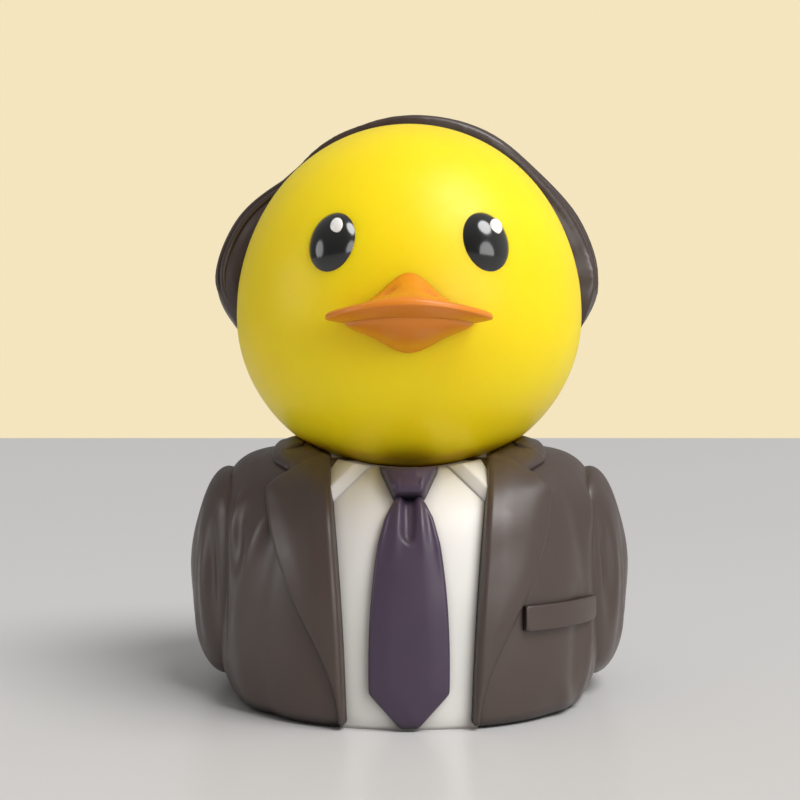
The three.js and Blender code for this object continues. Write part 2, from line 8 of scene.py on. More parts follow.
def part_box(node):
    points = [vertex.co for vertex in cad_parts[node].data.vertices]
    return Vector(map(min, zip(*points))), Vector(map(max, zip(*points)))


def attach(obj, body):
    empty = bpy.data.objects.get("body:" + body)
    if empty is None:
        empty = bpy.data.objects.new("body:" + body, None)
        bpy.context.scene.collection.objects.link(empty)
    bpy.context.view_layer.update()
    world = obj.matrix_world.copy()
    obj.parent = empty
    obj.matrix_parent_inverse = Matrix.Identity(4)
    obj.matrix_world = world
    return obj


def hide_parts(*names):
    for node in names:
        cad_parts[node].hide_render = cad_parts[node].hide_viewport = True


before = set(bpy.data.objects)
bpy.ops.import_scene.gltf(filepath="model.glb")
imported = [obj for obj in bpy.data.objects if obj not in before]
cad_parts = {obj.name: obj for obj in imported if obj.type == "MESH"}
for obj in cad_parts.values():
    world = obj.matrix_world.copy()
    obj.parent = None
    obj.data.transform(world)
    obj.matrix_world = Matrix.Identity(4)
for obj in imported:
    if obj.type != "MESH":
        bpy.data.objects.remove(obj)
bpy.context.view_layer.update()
MM = 0.001


# Camera
# A 50 mm lens on a low stand, a hand's length in front of the duck and level with its collar. It is tilted
# up and turned a little, as the photograph's horizon and the duck's place in it show.
PHOTO_SIDE = 800
HORIZON_ROW = 437
DUCK_COLUMN = 409
FOCAL_LENGTH = 50
SENSOR_WIDTH = 36
CAMERA_DISTANCE = 178
CAMERA_HEIGHT = 39


def add_object(name, data):
    """A new object in the scene."""
    thing = bpy.data.objects.new(name, data)
    bpy.context.collection.objects.link(thing)
    return thing


camera = add_object("photo_camera", bpy.data.cameras.new("photo_camera"))
camera.data.lens = FOCAL_LENGTH
camera.data.sensor_width = SENSOR_WIDTH
camera.data.clip_start = 0.01
camera.data.clip_end = 200
focal_pixels = PHOTO_SIDE * FOCAL_LENGTH / SENSOR_WIDTH
camera.location = (0, -CAMERA_DISTANCE * MM, CAMERA_HEIGHT * MM)
camera.rotation_euler = (
    math.pi / 2 + math.atan((HORIZON_ROW - PHOTO_SIDE / 2) / focal_pixels),
    0,
    math.atan((DUCK_COLUMN - PHOTO_SIDE / 2) / focal_pixels),
)
bpy.context.scene.camera = camera
bpy.context.scene.view_settings.view_transform = "Standard"


# Jacket body
# The duck's body as a suit jacket: a hollow barrel of soft PVC with a short flat tail, rotation-moulded in
# one piece and sprayed warm grey-brown. Its front is set back where the shirt shows.
jacket_low, jacket_high = (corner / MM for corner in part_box("jacket_body"))
HALF_WIDTH = jacket_high.x
FRONT_DEPTH = -jacket_low.y
BACK_DEPTH = 30.5
TOP_HEIGHT = 38
WAIST_HEIGHT = 11
SIDE_TAPER = 0.1
END_TAPER = 0.015
PLAN_POWER = 2.25
SHOULDER_POWER = 7
CHEST_POWER = 2.8
BACK_POWER = 4
BASE_EDGE = 1.4
SHIRT_INSET = 1.2
RECESS_INSET = 3.4
OPENING_FOOT = 8.6
OPENING_MIDDLE = 8.9
OPENING_NECK = 11.5
NECK_HEIGHT = 36.5
HEAD_CENTRE = np.array([0, -4.5, 60.7])
HEAD_HALF = np.array([25.8, 26, 26.6])
UNDER_POWER = 2.35
TAIL_SPINE = np.array([[12, 15], [34, 15], [40, 30]])
TAIL_ROOT_HALF = np.array([15, 11])
TAIL_TIP_HALF = np.array([9, 3.4])
TAIL_JOINT_HEIGHT = 19
TAIL_JOINT_HALF = (16, 10)
TAIL_JOINT_SIZE = 12
TAIL_JOINT_BACK = 22
TAIL_FILLET = 4.5
FILLET_PASSES = 40
JACKET_VOXEL = 0.45
RECESS_GAP = 0.25
JACKET_CHIN_GAP = 0.2
NECKLINE_RISE = 1.6
NECKLINE_RUN = 8
SHADE_DRIFT = 22
PAINTED_SHADE_REACH = 2.5
SPRAY_PATCH = 3
PEEL_GRAIN = 0.9
PEEL_HEIGHT = 0.03


def linear(hex_colour):
    """An sRGB hex colour as linear RGBA."""
    parts = [int(hex_colour[i : i + 2], 16) / 255 for i in (1, 3, 5)]
    return [c / 12.92 if c <= 0.04045 else ((c + 0.055) / 1.055) ** 2.4 for c in parts] + [1]


def add_node(tree, kind, settings=None, **inputs):
    """A node with its settings. An input is named, or i and its number, and given a value or a link."""
    node = tree.nodes.new(kind)
    for name, value in (settings or {}).items():
        setattr(node, name, value)
    for name, value in inputs.items():
        numbered = name[0] == "i" and name[1:].isdigit()
        socket = node.inputs[int(name[1:]) if numbered else name.replace("_", " ")]
        if isinstance(value, bpy.types.NodeSocket):
            tree.links.new(value, socket)
        else:
            socket.default_value = value
    return node


def sprayed_vinyl(name, colour, crease_shade_colour, roughness, softness=0.0, coat=0.0, gleam=0.5, glow=2.5):
    """Soft PVC under sprayed paint: an even satin skin with a faint orange peel and a slow drift in shade.
    Painted shade darkens the colour towards the crease shade colour deep in creases and tight corners,
    where ambient occlusion finds them. Real peel is about half a millimetre across, and is drawn coarser so
    that it shows."""
    material = bpy.data.materials.new(name)
    material.use_nodes = True
    tree = material.node_tree
    shader = tree.nodes["Principled BSDF"]
    for socket, value in {
        "IOR": 1.5, "Specular IOR Level": gleam, "Subsurface Weight": softness,
        "Subsurface Radius": (1.0, 0.6, 0.3), "Subsurface Scale": glow * MM,
        "Coat Weight": coat, "Coat Roughness": 0.25,
    }.items():
        shader.inputs[socket].default_value = value
    place = add_node(tree, "ShaderNodeTexCoord").outputs["Object"]
    drift = add_node(tree, "ShaderNodeTexNoise", Vector=place, Scale=1 / (SHADE_DRIFT * MM), Detail=2.0)
    # Painted shade: ambient occlusion darkens the colour deep in creases and under parts.
    crease = add_node(tree, "ShaderNodeAmbientOcclusion", {"samples": 8}, Distance=PAINTED_SHADE_REACH * MM)
    reach = add_node(tree, "ShaderNodeMapRange", Value=crease.outputs["AO"], From_Min=0.25, From_Max=0.85)
    painted_shade_mix = add_node(
        tree, "ShaderNodeMix", {"data_type": "RGBA"}, Factor=reach.outputs["Result"],
        i6=linear(crease_shade_colour), i7=linear(colour),
    )
    shade = add_node(
        tree, "ShaderNodeMapRange", Value=drift.outputs["Fac"], From_Min=0.3, From_Max=0.7,
        To_Min=0.94, To_Max=1.05,
    )
    varied = add_node(tree, "ShaderNodeHueSaturation", Color=painted_shade_mix.outputs[2], Value=shade.outputs["Result"])
    tree.links.new(varied.outputs["Color"], shader.inputs["Base Color"])
    spray = add_node(tree, "ShaderNodeTexNoise", Vector=place, Scale=1 / (SPRAY_PATCH * MM), Detail=3.0)
    gloss = add_node(
        tree, "ShaderNodeMapRange", Value=spray.outputs["Fac"], From_Min=0.3, From_Max=0.7,
        To_Min=roughness - 0.04, To_Max=roughness + 0.05,
    )
    tree.links.new(gloss.outputs["Result"], shader.inputs["Roughness"])
    peel = add_node(tree, "ShaderNodeTexNoise", Vector=place, Scale=1 / (PEEL_GRAIN * MM), Detail=2.0)
    bump = add_node(tree, "ShaderNodeBump", Height=peel.outputs[0], Strength=0.25, Distance=PEEL_HEIGHT * MM)
    tree.links.new(bump.outputs["Normal"], shader.inputs["Normal"])
    return material


def make_piece(name, points, faces, material):
    """A smooth mesh object at the origin, from points in millimetres."""
    mesh = bpy.data.meshes.new(name)
    mesh.from_pydata((np.asarray(points) * MM).tolist(), [], faces)
    mesh.validate()
    mesh.materials.append(material)
    mesh.shade_smooth()
    return add_object(name, mesh)


def finish_piece(piece, slot, *nodes):
    """Lets a piece ride on the duck's one body, in place of the CAD nodes that it stands for, which it hides.
    Its finish slot is not used.
    """
    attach(piece, "root")
    if nodes:
        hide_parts(*nodes)


def skin(rings):
    """Points and faces of a closed tube over rings, which turn anticlockwise seen from its start."""
    rings = np.asarray(rings, float)
    rows, around = rings.shape[:2]
    points = np.vstack([rings.reshape(-1, 3), rings[0].mean(0), rings[-1].mean(0)])
    j = np.arange(around)
    k = np.roll(j, -1)
    faces = []
    for r in range(rows - 1):
        a, b = r * around, (r + 1) * around
        faces += np.stack([a + j, a + k, b + k, b + j], 1).tolist()
    last = (rows - 1) * around
    faces += np.stack([np.full(around, rows * around), k, j], 1).tolist()
    faces += np.stack([np.full(around, rows * around + 1), last + j, last + k], 1).tolist()
    return points, faces


def joined(*parts):
    """Several sets of points and faces as one."""
    points, faces, start = [], [], 0
    for some_points, some_faces in parts:
        points.append(some_points)
        faces += [[start + i for i in face] for face in some_faces]
        start += len(some_points)
    return np.vstack(points), faces


def unit(vectors):
    """Vectors of length 1, one a row."""
    return vectors / np.linalg.norm(vectors, axis=1)[:, None]


def smoothstep(value, low, high):
    """0 below low, 1 above high, and a smooth rise between them."""
    t = np.clip((value - low) / (high - low), 0, 1)
    return t * t * (3 - 2 * t)


def share(z, top, power, taper):
    """How much of the barrel's full half-size is left at a height."""
    low = 1 - taper * np.clip((WAIST_HEIGHT - z) / WAIST_HEIGHT, 0, 1) ** 3
    rise = np.clip((z - WAIST_HEIGHT) / (top - WAIST_HEIGHT), 0, 1)
    return low * (1 - rise**power) ** (1 / power)


def barrel_halves(z, inset=0):
    """Half-width, front depth and back depth of the barrel at a height, moved in by an inset."""
    top = TOP_HEIGHT - inset
    return (
        (HALF_WIDTH - inset) * share(z, top, SHOULDER_POWER, SIDE_TAPER),
        (FRONT_DEPTH - inset) * share(z, top, CHEST_POWER, END_TAPER),
        (BACK_DEPTH - inset) * share(z, top, BACK_POWER, SIDE_TAPER),
    )


def barrel_ring(z, turns, inset=0, edge=0):
    """Points round the barrel at a height, at angles from the middle of the front."""
    width, front, back = (half - edge for half in barrel_halves(z, inset))
    x = width * np.sign(np.sin(turns)) * np.abs(np.sin(turns)) ** (2 / PLAN_POWER)
    y = np.sign(np.cos(turns)) * np.abs(np.cos(turns)) ** (2 / PLAN_POWER)
    return np.stack([x, np.where(y > 0, -front * y, -back * y), np.full_like(x, z)], 1)


def opening(z):
    """Half the width of the jacket's front opening at a height."""
    s = (z + 1) / (NECK_HEIGHT + 1)
    return OPENING_FOOT * (1 - s) ** 2 + 2 * OPENING_MIDDLE * s * (1 - s) + OPENING_NECK * s**2


def chin_line(x):
    """Height of the head's underside, as the front view shows it, across the front."""
    across = np.clip(np.abs(x) / HEAD_HALF[0], 0, 1) ** UNDER_POWER
    return HEAD_CENTRE[2] - HEAD_HALF[2] * (1 - across) ** (1 / UNDER_POWER)


def under_chin(points, clearance):
    """Presses the neckline down, with a slight slope up to the front, until the chin shows whole over it."""
    points = points.copy()
    chin = chin_line(points[:, 0])
    limit = chin - clearance + (CAMERA_HEIGHT - chin) / CAMERA_DISTANCE * (HEAD_CENTRE[1] - points[:, 1])
    limit = limit + NECKLINE_RISE * smoothstep(points[:, 1], HEAD_CENTRE[1] - NECKLINE_RUN, HEAD_CENTRE[1])
    in_front = points[:, 1] < HEAD_CENTRE[1]
    points[in_front, 2] = np.minimum(points[in_front, 2], limit[in_front])
    return points


def jacket_barrel():
    """The jacket's barrel, in rings from its foot up, with the shirt's recess down its front."""
    heights = [(BASE_EDGE * (1 - math.cos(t)), BASE_EDGE * (1 - math.sin(t))) for t in np.linspace(0, 1.4, 5)]
    heights += [(z, 0) for z in np.linspace(BASE_EDGE, WAIST_HEIGHT, 16)]
    climb = TOP_HEIGHT - WAIST_HEIGHT
    heights += [(WAIST_HEIGHT + climb * math.sin(t) ** 0.5, 0) for t in np.linspace(0.02, 1.5, 60)]
    rings = []
    for z, edge in heights:
        width = barrel_halves(z)[0] - edge
        gap = min(opening(z) + RECESS_GAP, 0.9 * width)
        turn = math.asin((gap / width) ** (PLAN_POWER / 2))
        outer = barrel_ring(z, np.linspace(turn, 2 * math.pi - turn, 180), 0, edge)
        inner_width = barrel_halves(z, RECESS_INSET)[0] - edge
        inner_turn = math.asin(min(0.92, gap / max(inner_width, 1)) ** (PLAN_POWER / 2))
        inner = barrel_ring(z, np.linspace(-inner_turn, inner_turn, 24), RECESS_INSET, edge)
        rings.append(under_chin(np.vstack([outer, inner]), JACKET_CHIN_GAP))
    return skin(rings)


def tail():
    """The duck's tail: a flat cone that bends up along its spine to a round tip."""
    root, bend, tip = TAIL_SPINE
    turns = np.linspace(0, 2 * math.pi, 64, endpoint=False)
    rings = []
    for t in np.sin(np.linspace(0, math.pi / 2, 40)):
        middle = (1 - t) ** 2 * root + 2 * t * (1 - t) * bend + t**2 * tip
        along = (1 - t) * (bend - root) + t * (tip - bend)
        along /= np.linalg.norm(along)
        round_tip = (1 - (0.998 * t) ** 6) ** 0.5
        width = round_tip * (TAIL_ROOT_HALF[0] + (TAIL_TIP_HALF[0] - TAIL_ROOT_HALF[0]) * t**1.4)
        height = round_tip * (TAIL_ROOT_HALF[1] + (TAIL_TIP_HALF[1] - TAIL_ROOT_HALF[1]) * t)
        side, up = -width * np.cos(turns), height * np.sin(turns)
        rings.append(np.stack([side, middle[0] - up * along[1], middle[1] + up * along[0]], 1))
    return skin(rings)


def plain_mesh(piece):
    """Bakes a piece's modifiers into a plain mesh and removes them."""
    view = bpy.context.evaluated_depsgraph_get()
    mesh = bpy.data.meshes.new_from_object(
        piece.evaluated_get(view), preserve_all_data_layers=False, depsgraph=view)
    old = piece.data
    piece.modifiers.clear()
    piece.vertex_groups.clear()
    piece.data = mesh
    name = old.name
    bpy.data.meshes.remove(old)
    mesh.name = name
    mesh.shade_smooth()


def vertex_places(mesh):
    """A mesh's points and normals, in millimetres."""
    points = np.empty(len(mesh.vertices) * 3)
    mesh.vertices.foreach_get("co", points)
    normals = np.empty(len(mesh.vertices) * 3, np.float32)
    mesh.vertex_normals.foreach_get("vector", normals)
    return points.reshape(-1, 3) / MM, normals.reshape(-1, 3).astype(float)


def set_places(mesh, points):
    """Moves a mesh's points to places in millimetres."""
    mesh.vertices.foreach_set("co", (points * MM).ravel())
    mesh.update()


def soften(piece, voxel, passes=4):
    """Melts a piece's parts together on a fine grid, as one moulding."""
    remesh = piece.modifiers.new("one_moulding", "REMESH")
    remesh.mode = "VOXEL"
    remesh.voxel_size = voxel * MM
    smooth = piece.modifiers.new("even_skin", "SMOOTH")
    smooth.iterations = passes
    plain_mesh(piece)


def fillet(piece, weight, passes):
    """Smooths a piece most where the weight is 1."""
    group = piece.vertex_groups.new(name="fillet")
    for level in range(1, 11):
        chosen = np.nonzero(np.round(weight * 10) == level)[0]
        group.add(chosen.tolist(), level / 10, "REPLACE")
    smooth = piece.modifiers.new("fillet", "SMOOTH")
    smooth.iterations = passes
    smooth.vertex_group = group.name
    plain_mesh(piece)


def fold_height(points, folds):
    """Height of soft folds at points. A fold is a middle, a direction, half a length, half a width and a
    height, which is negative for a valley."""
    total = np.zeros(len(points))
    for middle, direction, length, width, height in folds:
        direction = np.array(direction, float) / np.linalg.norm(direction)
        away = points - np.array(middle, float)
        along = away @ direction
        across = (away**2).sum(1) - along**2
        total += height * np.exp(-((along / length) ** 2) - across / width**2)
    return total


def add_folds(piece, folds):
    points, normals = vertex_places(piece.data)
    points += normals * fold_height(points, folds)[:, None]
    points[:, 2] = np.maximum(points[:, 2], 0)
    set_places(piece.data, points)


# The second colour is the painted shade that darkens the jacket's creases.
jacket_vinyl = sprayed_vinyl("sprayed_vinyl_jacket", "#473a35", "#1c1411", 0.37)
jacket = make_piece("jacket_shell", *joined(jacket_barrel(), tail()), jacket_vinyl)
soften(jacket, JACKET_VOXEL)
body_points, _ = vertex_places(jacket.data)
across_tail = body_points[:, 0] / TAIL_JOINT_HALF[0]
up_tail = (body_points[:, 2] - TAIL_JOINT_HEIGHT) / TAIL_JOINT_HALF[1]
from_joint = np.abs(np.hypot(across_tail, up_tail) - 1) * TAIL_JOINT_SIZE
near_tail = np.exp(-((from_joint / TAIL_FILLET) ** 2)) * (body_points[:, 1] > TAIL_JOINT_BACK)
fillet(jacket, near_tail, FILLET_PASSES)
# Folds down the front on the right and on the left, then the back seam and the creases over the tail.
add_folds(jacket, [
    ((-24.8, -16, 25), (0.05, 0, -1), 6, 1.3, 0.9),
    ((-23.4, -18.3, 21), (0.25, -0.1, -1), 6, 1.3, -0.6),
    ((-22, -19.5, 20.5), (-0.24, 0.24, -1), 8, 1.6, 1),
    ((-19.3, -22.3, 19), (-0.12, 0.1, -1), 8, 1.6, -0.5),
    ((-22.5, -18.5, 8), (0, 0, -1), 7, 2.2, 0.7),
    ((-26, -14, 13), (0, 0, -1), 9, 1.3, -0.6),
    ((-19.5, -22.3, 6), (0.1, 0, -1), 7, 1.8, -0.35),
    ((26, -13.5, 28), (-0.2, -0.2, -1), 5, 1.4, 0.7),
    ((24.1, -17.3, 24.5), (0.05, 0, -1), 6, 1.6, -0.6),
    ((24.9, -16.3, 9), (-0.12, 0, -1), 7, 1.4, 0.9),
    ((22.4, -19.6, 8), (-0.12, 0, -1), 7, 1.5, -0.55),
    ((21.6, -20.3, 2.5), (0.5, 0.5, -1), 3, 1.8, 0.7),
    ((0, 29.5, 31), (0, 0, -1), 8, 0.55, -0.4),
    ((0, 30, 31), (1, 0, 0.1), 12, 2, 0.5),
    ((0, 31, 26), (1, 0, -0.1), 11, 1.6, -0.4),
    ((-14, 27, 26), (0.6, 0, -1), 7, 1.6, 0.35),
    ((14, 27, 26), (-0.6, 0, -1), 7, 1.6, 0.35),
])
finish_piece(jacket, "jacket_vinyl", "jacket_body")


# Lapels, collar and breast pocket
# The suit's trim stands proud of the body in the same moulding: two notched lapels with rolled edges, the
# collar that they run into round the neck, and a pocket welt on the duck's left breast.
LAPEL_THICKNESS = 0.95
LAPEL_EDGE = 0.75
LAPEL_SKIRT = 2.6
LAPEL_FOOT = 0.6
LAPEL_TOP = 37.6
LAPEL_FULLNESS = 0.25
LAPEL_CHIN_GAP = -0.2
GORGE_END = (17.2, 33.9)
GORGE_SLOPE = 0.42
GORGE_HALF = 0.28
GORGE_DEPTH = 0.3
PEAK_PLACE = (19, 32)
PEAK_HALF = (2.2, 2)
PEAK_RAISE = 0.5
COLLAR_RADIUS = 17.2
COLLAR_REACH = 3.4
COLLAR_THICKNESS = 0.95
COLLAR_ENDS = (66, 294)
COLLAR_END_REACH = 1.2
COLLAR_NAPE_REACH = 3.4
COLLAR_OVAL = 1.02
COLLAR_STAND = 0.5
WELT_CORNERS = [(15.4, 12.8), (26.4, 12.8), (26.4, 16.2), (15.4, 16.2)]
WELT_THICKNESS = 0.9
WELT_EDGE = 0.22
WELT_SKIRT = 1.5
WELT_ROUND = 0.2


def bezier(a, b, c, d, count=24):
    """Points of a cubic Bezier curve, without its last."""
    t = np.linspace(0, 1, count, endpoint=False)[:, None]
    a, b, c, d = (np.array(p, float) for p in (a, b, c, d))
    return (1 - t) ** 3 * a + 3 * t * (1 - t) ** 2 * b + 3 * t**2 * (1 - t) * c + t**3 * d


def travelled(points, power=1):
    """How far along a line of points each one is, with each step raised to a power."""
    return np.concatenate([[0], np.cumsum(np.linalg.norm(np.diff(points, axis=0), axis=1) ** power)])


def even_steps(points, count):
    """A closed line of points as so many even steps, or as steps of about a length below 1."""
    travel = travelled(points)
    if count < 1:
        count = max(12, int(travel[-1] / count))
    places = np.linspace(0, travel[-1], count, endpoint=False)
    return np.stack([np.interp(places, travel, line) for line in points.T], 1)


def rounded_outline(corners, radius=0.35, step=0.35):
    """A closed outline through corners, with its corners rounded, in even short steps."""
    corners = np.asarray(corners, float)
    before, after = np.roll(corners, 1, 0), np.roll(corners, -1, 0)
    points = []
    for previous, corner, following in zip(before, corners, after):
        to_back, to_front = previous - corner, following - corner
        back, front = np.linalg.norm(to_back), np.linalg.norm(to_front)
        cut = min(radius, 0.45 * back, 0.45 * front)
        start, end = corner + to_back / back * cut, corner + to_front / front * cut
        for t in (0, 0.25, 0.5, 0.75, 1):
            points.append((1 - t) ** 2 * start + 2 * t * (1 - t) * corner + t**2 * end)
    points = np.array(points + points[:1])
    return even_steps(points[np.diff(travelled(points), prepend=-1) > 1e-4], step)


def distance_to(points, outline):
    """Distance of each point to a closed outline."""
    start, end = outline, np.roll(outline, -1, 0)
    along = end - start
    away = points[:, None] - start[None]
    t = np.clip((away * along).sum(2) / np.maximum((along**2).sum(1), 1e-9), 0, 1)
    return np.sqrt(((away - t[..., None] * along) ** 2).sum(2)).min(1)


def inside(points, outline):
    """Which points a closed outline holds."""
    start, end = outline, np.roll(outline, -1, 0)
    x, y = points[:, :1], points[:, 1:]
    crosses = (start[:, 1] > y) != (end[:, 1] > y)
    slope = (end[:, 0] - start[:, 0]) / np.where(end[:, 1] == start[:, 1], 1e-9, end[:, 1] - start[:, 1])
    return (crosses & (x < start[:, 0] + (y - start[:, 1]) * slope)).sum(1) % 2 == 1


def chest(points, inset):
    """Places on the front of the barrel, moved in by an inset, at (x, z), with their outward normals."""

    def place(x, z):
        top = TOP_HEIGHT - inset
        z_on = np.minimum(z, top - 0.02)
        width, front, _ = barrel_halves(z_on, inset)
        side = np.clip(np.abs(x) / np.maximum(width, 0.1), 0, 0.995)
        return np.stack([x, -front * (1 - side**PLAN_POWER) ** (1 / PLAN_POWER), z], 1)

    x, z = points.T
    across = place(x + 0.05, z) - place(x - 0.05, z)
    up = place(x, z + 0.05) - place(x, z - 0.05)
    return place(x, z), unit(np.cross(across, up))


def applique_shape(distance, thickness, edge, rolled=True):
    """Height over a patch at a distance from its outline, with a rolled edge or a flat bevel."""
    near = np.clip(distance / edge, 0, 1)
    if rolled:
        return thickness - edge + edge * np.sqrt(1 - (1 - near) ** 2)
    return thickness * (0.2 + 0.8 * near)


def applique(corners, thickness, edge, inset, skirt, radius=0.35, step=0.5, relief=None, rolled=True):
    """A patch on the chest, with shaped edges, relief over its front and a closed back below the skin."""
    outline = rounded_outline(corners, radius)
    if ((outline * np.roll(np.roll(outline, -1, 0), 1, 1)) @ (1, -1)).sum() < 0:
        outline = outline[::-1]
    forward = np.roll(outline, -1, 0) - np.roll(outline, 1, 0)
    inward = unit(np.stack([-forward[:, 1], forward[:, 0]], 1))
    (left, foot), (right, top) = outline.min(0), outline.max(0)
    grid = np.stack(np.meshgrid(np.arange(left, right, step), np.arange(foot, top, step)), 2).reshape(-1, 2)
    fills = [(outline + inward * edge * part, 0.97 * edge * part) for part in (0.06, 0.235, 0.5, 0.8, 1, 1.2)]
    fills.append((grid, 1.2 * edge + 0.4 * step))
    kept = [fill[inside(fill, outline) & (distance_to(fill, outline) > depth)] for fill, depth in fills]
    flat = np.vstack([outline] + kept)
    count = len(outline)
    verts, _, faces, *_ = geometry.delaunay_2d_cdt(
        [Vector(p) for p in flat.tolist()], [], [list(range(count))], 1, 1e-5
    )
    verts = np.array([tuple(v) for v in verts])
    distance = distance_to(verts, outline)
    height = applique_shape(distance, thickness, edge, rolled)
    if relief:
        height = height + relief(verts, distance)
    places, normals = chest(verts, inset)
    front = places + normals * height[:, None]
    back = places - normals * skirt
    sides = dict.fromkeys(side for face in faces for side in zip(face, face[1:] + face[:1]))
    walls = [[b, a, a + len(verts), b + len(verts)] for a, b in sides if (b, a) not in sides]
    backs = [[i + len(verts) for i in reversed(face)] for face in faces]
    return np.vstack([front, back]), [list(face) for face in faces] + backs + walls


def mirrored(part):
    """The same points and faces on the duck's other side."""
    points, faces = part
    return points * [-1, 1, 1], [list(reversed(face)) for face in faces]


def lapel_relief(points, distance):
    """A lapel is fuller inside its edge and at its peak, and its gorge seam is a fine groove."""
    x, z = points.T
    gorge = np.abs((z - GORGE_END[1]) - GORGE_SLOPE * (GORGE_END[0] - x)) / math.hypot(1, GORGE_SLOPE)
    seam = (x < GORGE_END[0] + 0.1) * np.exp(-((gorge / GORGE_HALF) ** 2))
    peak = np.exp(-(((x - PEAK_PLACE[0]) / PEAK_HALF[0]) ** 2) - ((z - PEAK_PLACE[1]) / PEAK_HALF[1]) ** 2)
    return LAPEL_FULLNESS * smoothstep(distance, 0, 3) - GORGE_DEPTH * seam + PEAK_RAISE * peak


def barrel_top(x, y):
    """Height of the barrel's top skin over places in plan."""
    low, high = np.full(x.shape, float(WAIST_HEIGHT)), np.full(x.shape, TOP_HEIGHT)
    for _ in range(30):
        z = (low + high) / 2
        width, front, back = barrel_halves(z)
        depth = np.where(y < 0, front, back)
        out = (np.abs(x) / np.maximum(width, 1e-3)) ** PLAN_POWER
        out = out + (np.abs(y) / np.maximum(depth, 1e-3)) ** PLAN_POWER > 1
        high, low = np.where(out, z, high), np.where(out, low, z)
    return (low + high) / 2


def collar_fall():
    """The collar's fall: a band that rolls over and lies on the shoulders, widest at its ends and nape."""
    turns = np.radians(np.linspace(*COLLAR_ENDS, 150))
    rings = []
    for turn in turns:
        from_end = min(turn - turns[0], turns[-1] - turn)
        reach = COLLAR_REACH + COLLAR_END_REACH * (1 - smoothstep(from_end, 0, 0.4))
        reach += COLLAR_NAPE_REACH * smoothstep(from_end, 0.6, 1.6)
        section = []
        for t in np.linspace(0, 1, 17):
            section.append((COLLAR_RADIUS + reach * t, applique_shape((1 - t) * reach, 1, 0.7), t))
        for t in np.linspace(1, 0, 9):
            section.append((COLLAR_RADIUS + reach * t, -1.5, t))
        radii, heights, t = np.array(section).T
        x, y = np.sin(turn) * radii, HEAD_CENTRE[1] - np.cos(turn) * radii * COLLAR_OVAL
        stand = COLLAR_STAND * (1 - smoothstep(t, 0.1, 0.9)) * (heights > -1)
        z = barrel_top(x, y) + COLLAR_THICKNESS * heights + stand
        rings.append(np.stack([x, y, z], 1))
    return skin(rings)


roll_heights = np.linspace(LAPEL_TOP, LAPEL_FOOT, 40)
lapel_corners = np.vstack([
    bezier((9.3, LAPEL_FOOT), (9.3, 6.5), (13.2, 12.1), (15.6, 17), 10),
    bezier((15.6, 17), (18, 22), (19.6, 26), (20.1, 31.3), 10),
    [(20.1, 31.3), (17.1, 33.9), (20.1, 35.3), (18.9, LAPEL_TOP)],
    np.stack([opening(roll_heights), roll_heights], 1),
])
lapel = applique(lapel_corners, LAPEL_THICKNESS, LAPEL_EDGE, 0, LAPEL_SKIRT, relief=lapel_relief)
lapel = (under_chin(lapel[0], LAPEL_CHIN_GAP), lapel[1])
welt = applique(WELT_CORNERS, WELT_THICKNESS, WELT_EDGE, 0, WELT_SKIRT, radius=WELT_ROUND)
trim = make_piece("lapels_collar_pocket", *joined(lapel, mirrored(lapel), collar_fall(), welt), jacket_vinyl)
finish_piece(trim, "jacket_vinyl")


# Shirt
# The shirt front is a separate off-white PVC moulding behind the lapels. The band of its collar stands up to
# the head, and the two thick leaves are folded down beside the knot.
SHIRT_LAP = 0.6
SHIRT_THICKNESS = 1.8
SHIRT_CHIN_GAP = -0.1
LEAF_CORNERS = [(13.8, 30.6), (10.9, 29.6), (5.4, 34.9), (5.2, 37), (11.7, 37)]
LEAF_THICKNESS = 1.5
LEAF_EDGE = 0.85
LEAF_SKIRT = 1.2
LEAF_LEAN = 0.3
BAND_HALF = 13.6
BAND_FRONT = -17
BAND_CURVE = 0.03
BAND_THICKNESS = 7
BAND_FOOT = 30
BAND_TOP = 60


def shirt_front():
    """A plate that follows the chest behind the opening and laps under each lapel."""
    rings = []
    for z in np.linspace(0, 37, 75):
        half = opening(z) + SHIRT_LAP
        front, _ = chest(np.stack([np.linspace(-half, half, 41), np.full(41, z)], 1), SHIRT_INSET)
        behind = np.stack([np.linspace(half, -half, 15), np.full(15, z)], 1)
        back, _ = chest(behind, SHIRT_INSET + SHIRT_THICKNESS)
        rings.append(np.vstack([front, back]))
    return skin(rings)


def leaf_relief(points, distance):
    """A leaf leans back from its lower edge towards the neck."""
    x, z = points.T
    (x0, z0), (x1, z1) = LEAF_CORNERS[1:3]
    up = ((x - x0) * (z1 - z0) + (z - z0) * (x0 - x1)) / math.hypot(x1 - x0, z1 - z0)
    return -LEAF_LEAN * np.maximum(up - LEAF_EDGE, 0)


def neck_band():
    """The shirt collar's stand, which runs up behind the knot and the leaves and is cut off at the chin."""
    rings = []
    for x in np.linspace(-BAND_HALF, BAND_HALF, 49):
        front = BAND_FRONT + BAND_CURVE * x**2
        plan = [(x, front), (x, front), (x, front + BAND_THICKNESS), (x, front + BAND_THICKNESS)]
        rings.append(under_chin(np.column_stack([plan, [BAND_TOP, BAND_FOOT, BAND_FOOT, BAND_TOP]]), 0))
    return skin(rings)


# The second colour is the painted shade in the shirt's creases.
shirt_vinyl = sprayed_vinyl("sprayed_vinyl_shirt", "#dfdcd7", "#b0aba5", 0.42, softness=0.15)
leaf = applique(LEAF_CORNERS, LEAF_THICKNESS, LEAF_EDGE, SHIRT_INSET, LEAF_SKIRT, radius=0.25, step=0.4,
                relief=leaf_relief, rolled=False)
shirt = joined(shirt_front(), leaf, mirrored(leaf))
shirt = joined((under_chin(shirt[0], SHIRT_CHIN_GAP), shirt[1]), neck_band())
shirt = make_piece("shirt_and_leaves", *shirt, shirt_vinyl)
finish_piece(shirt, "shirt_vinyl", "shirt_front")


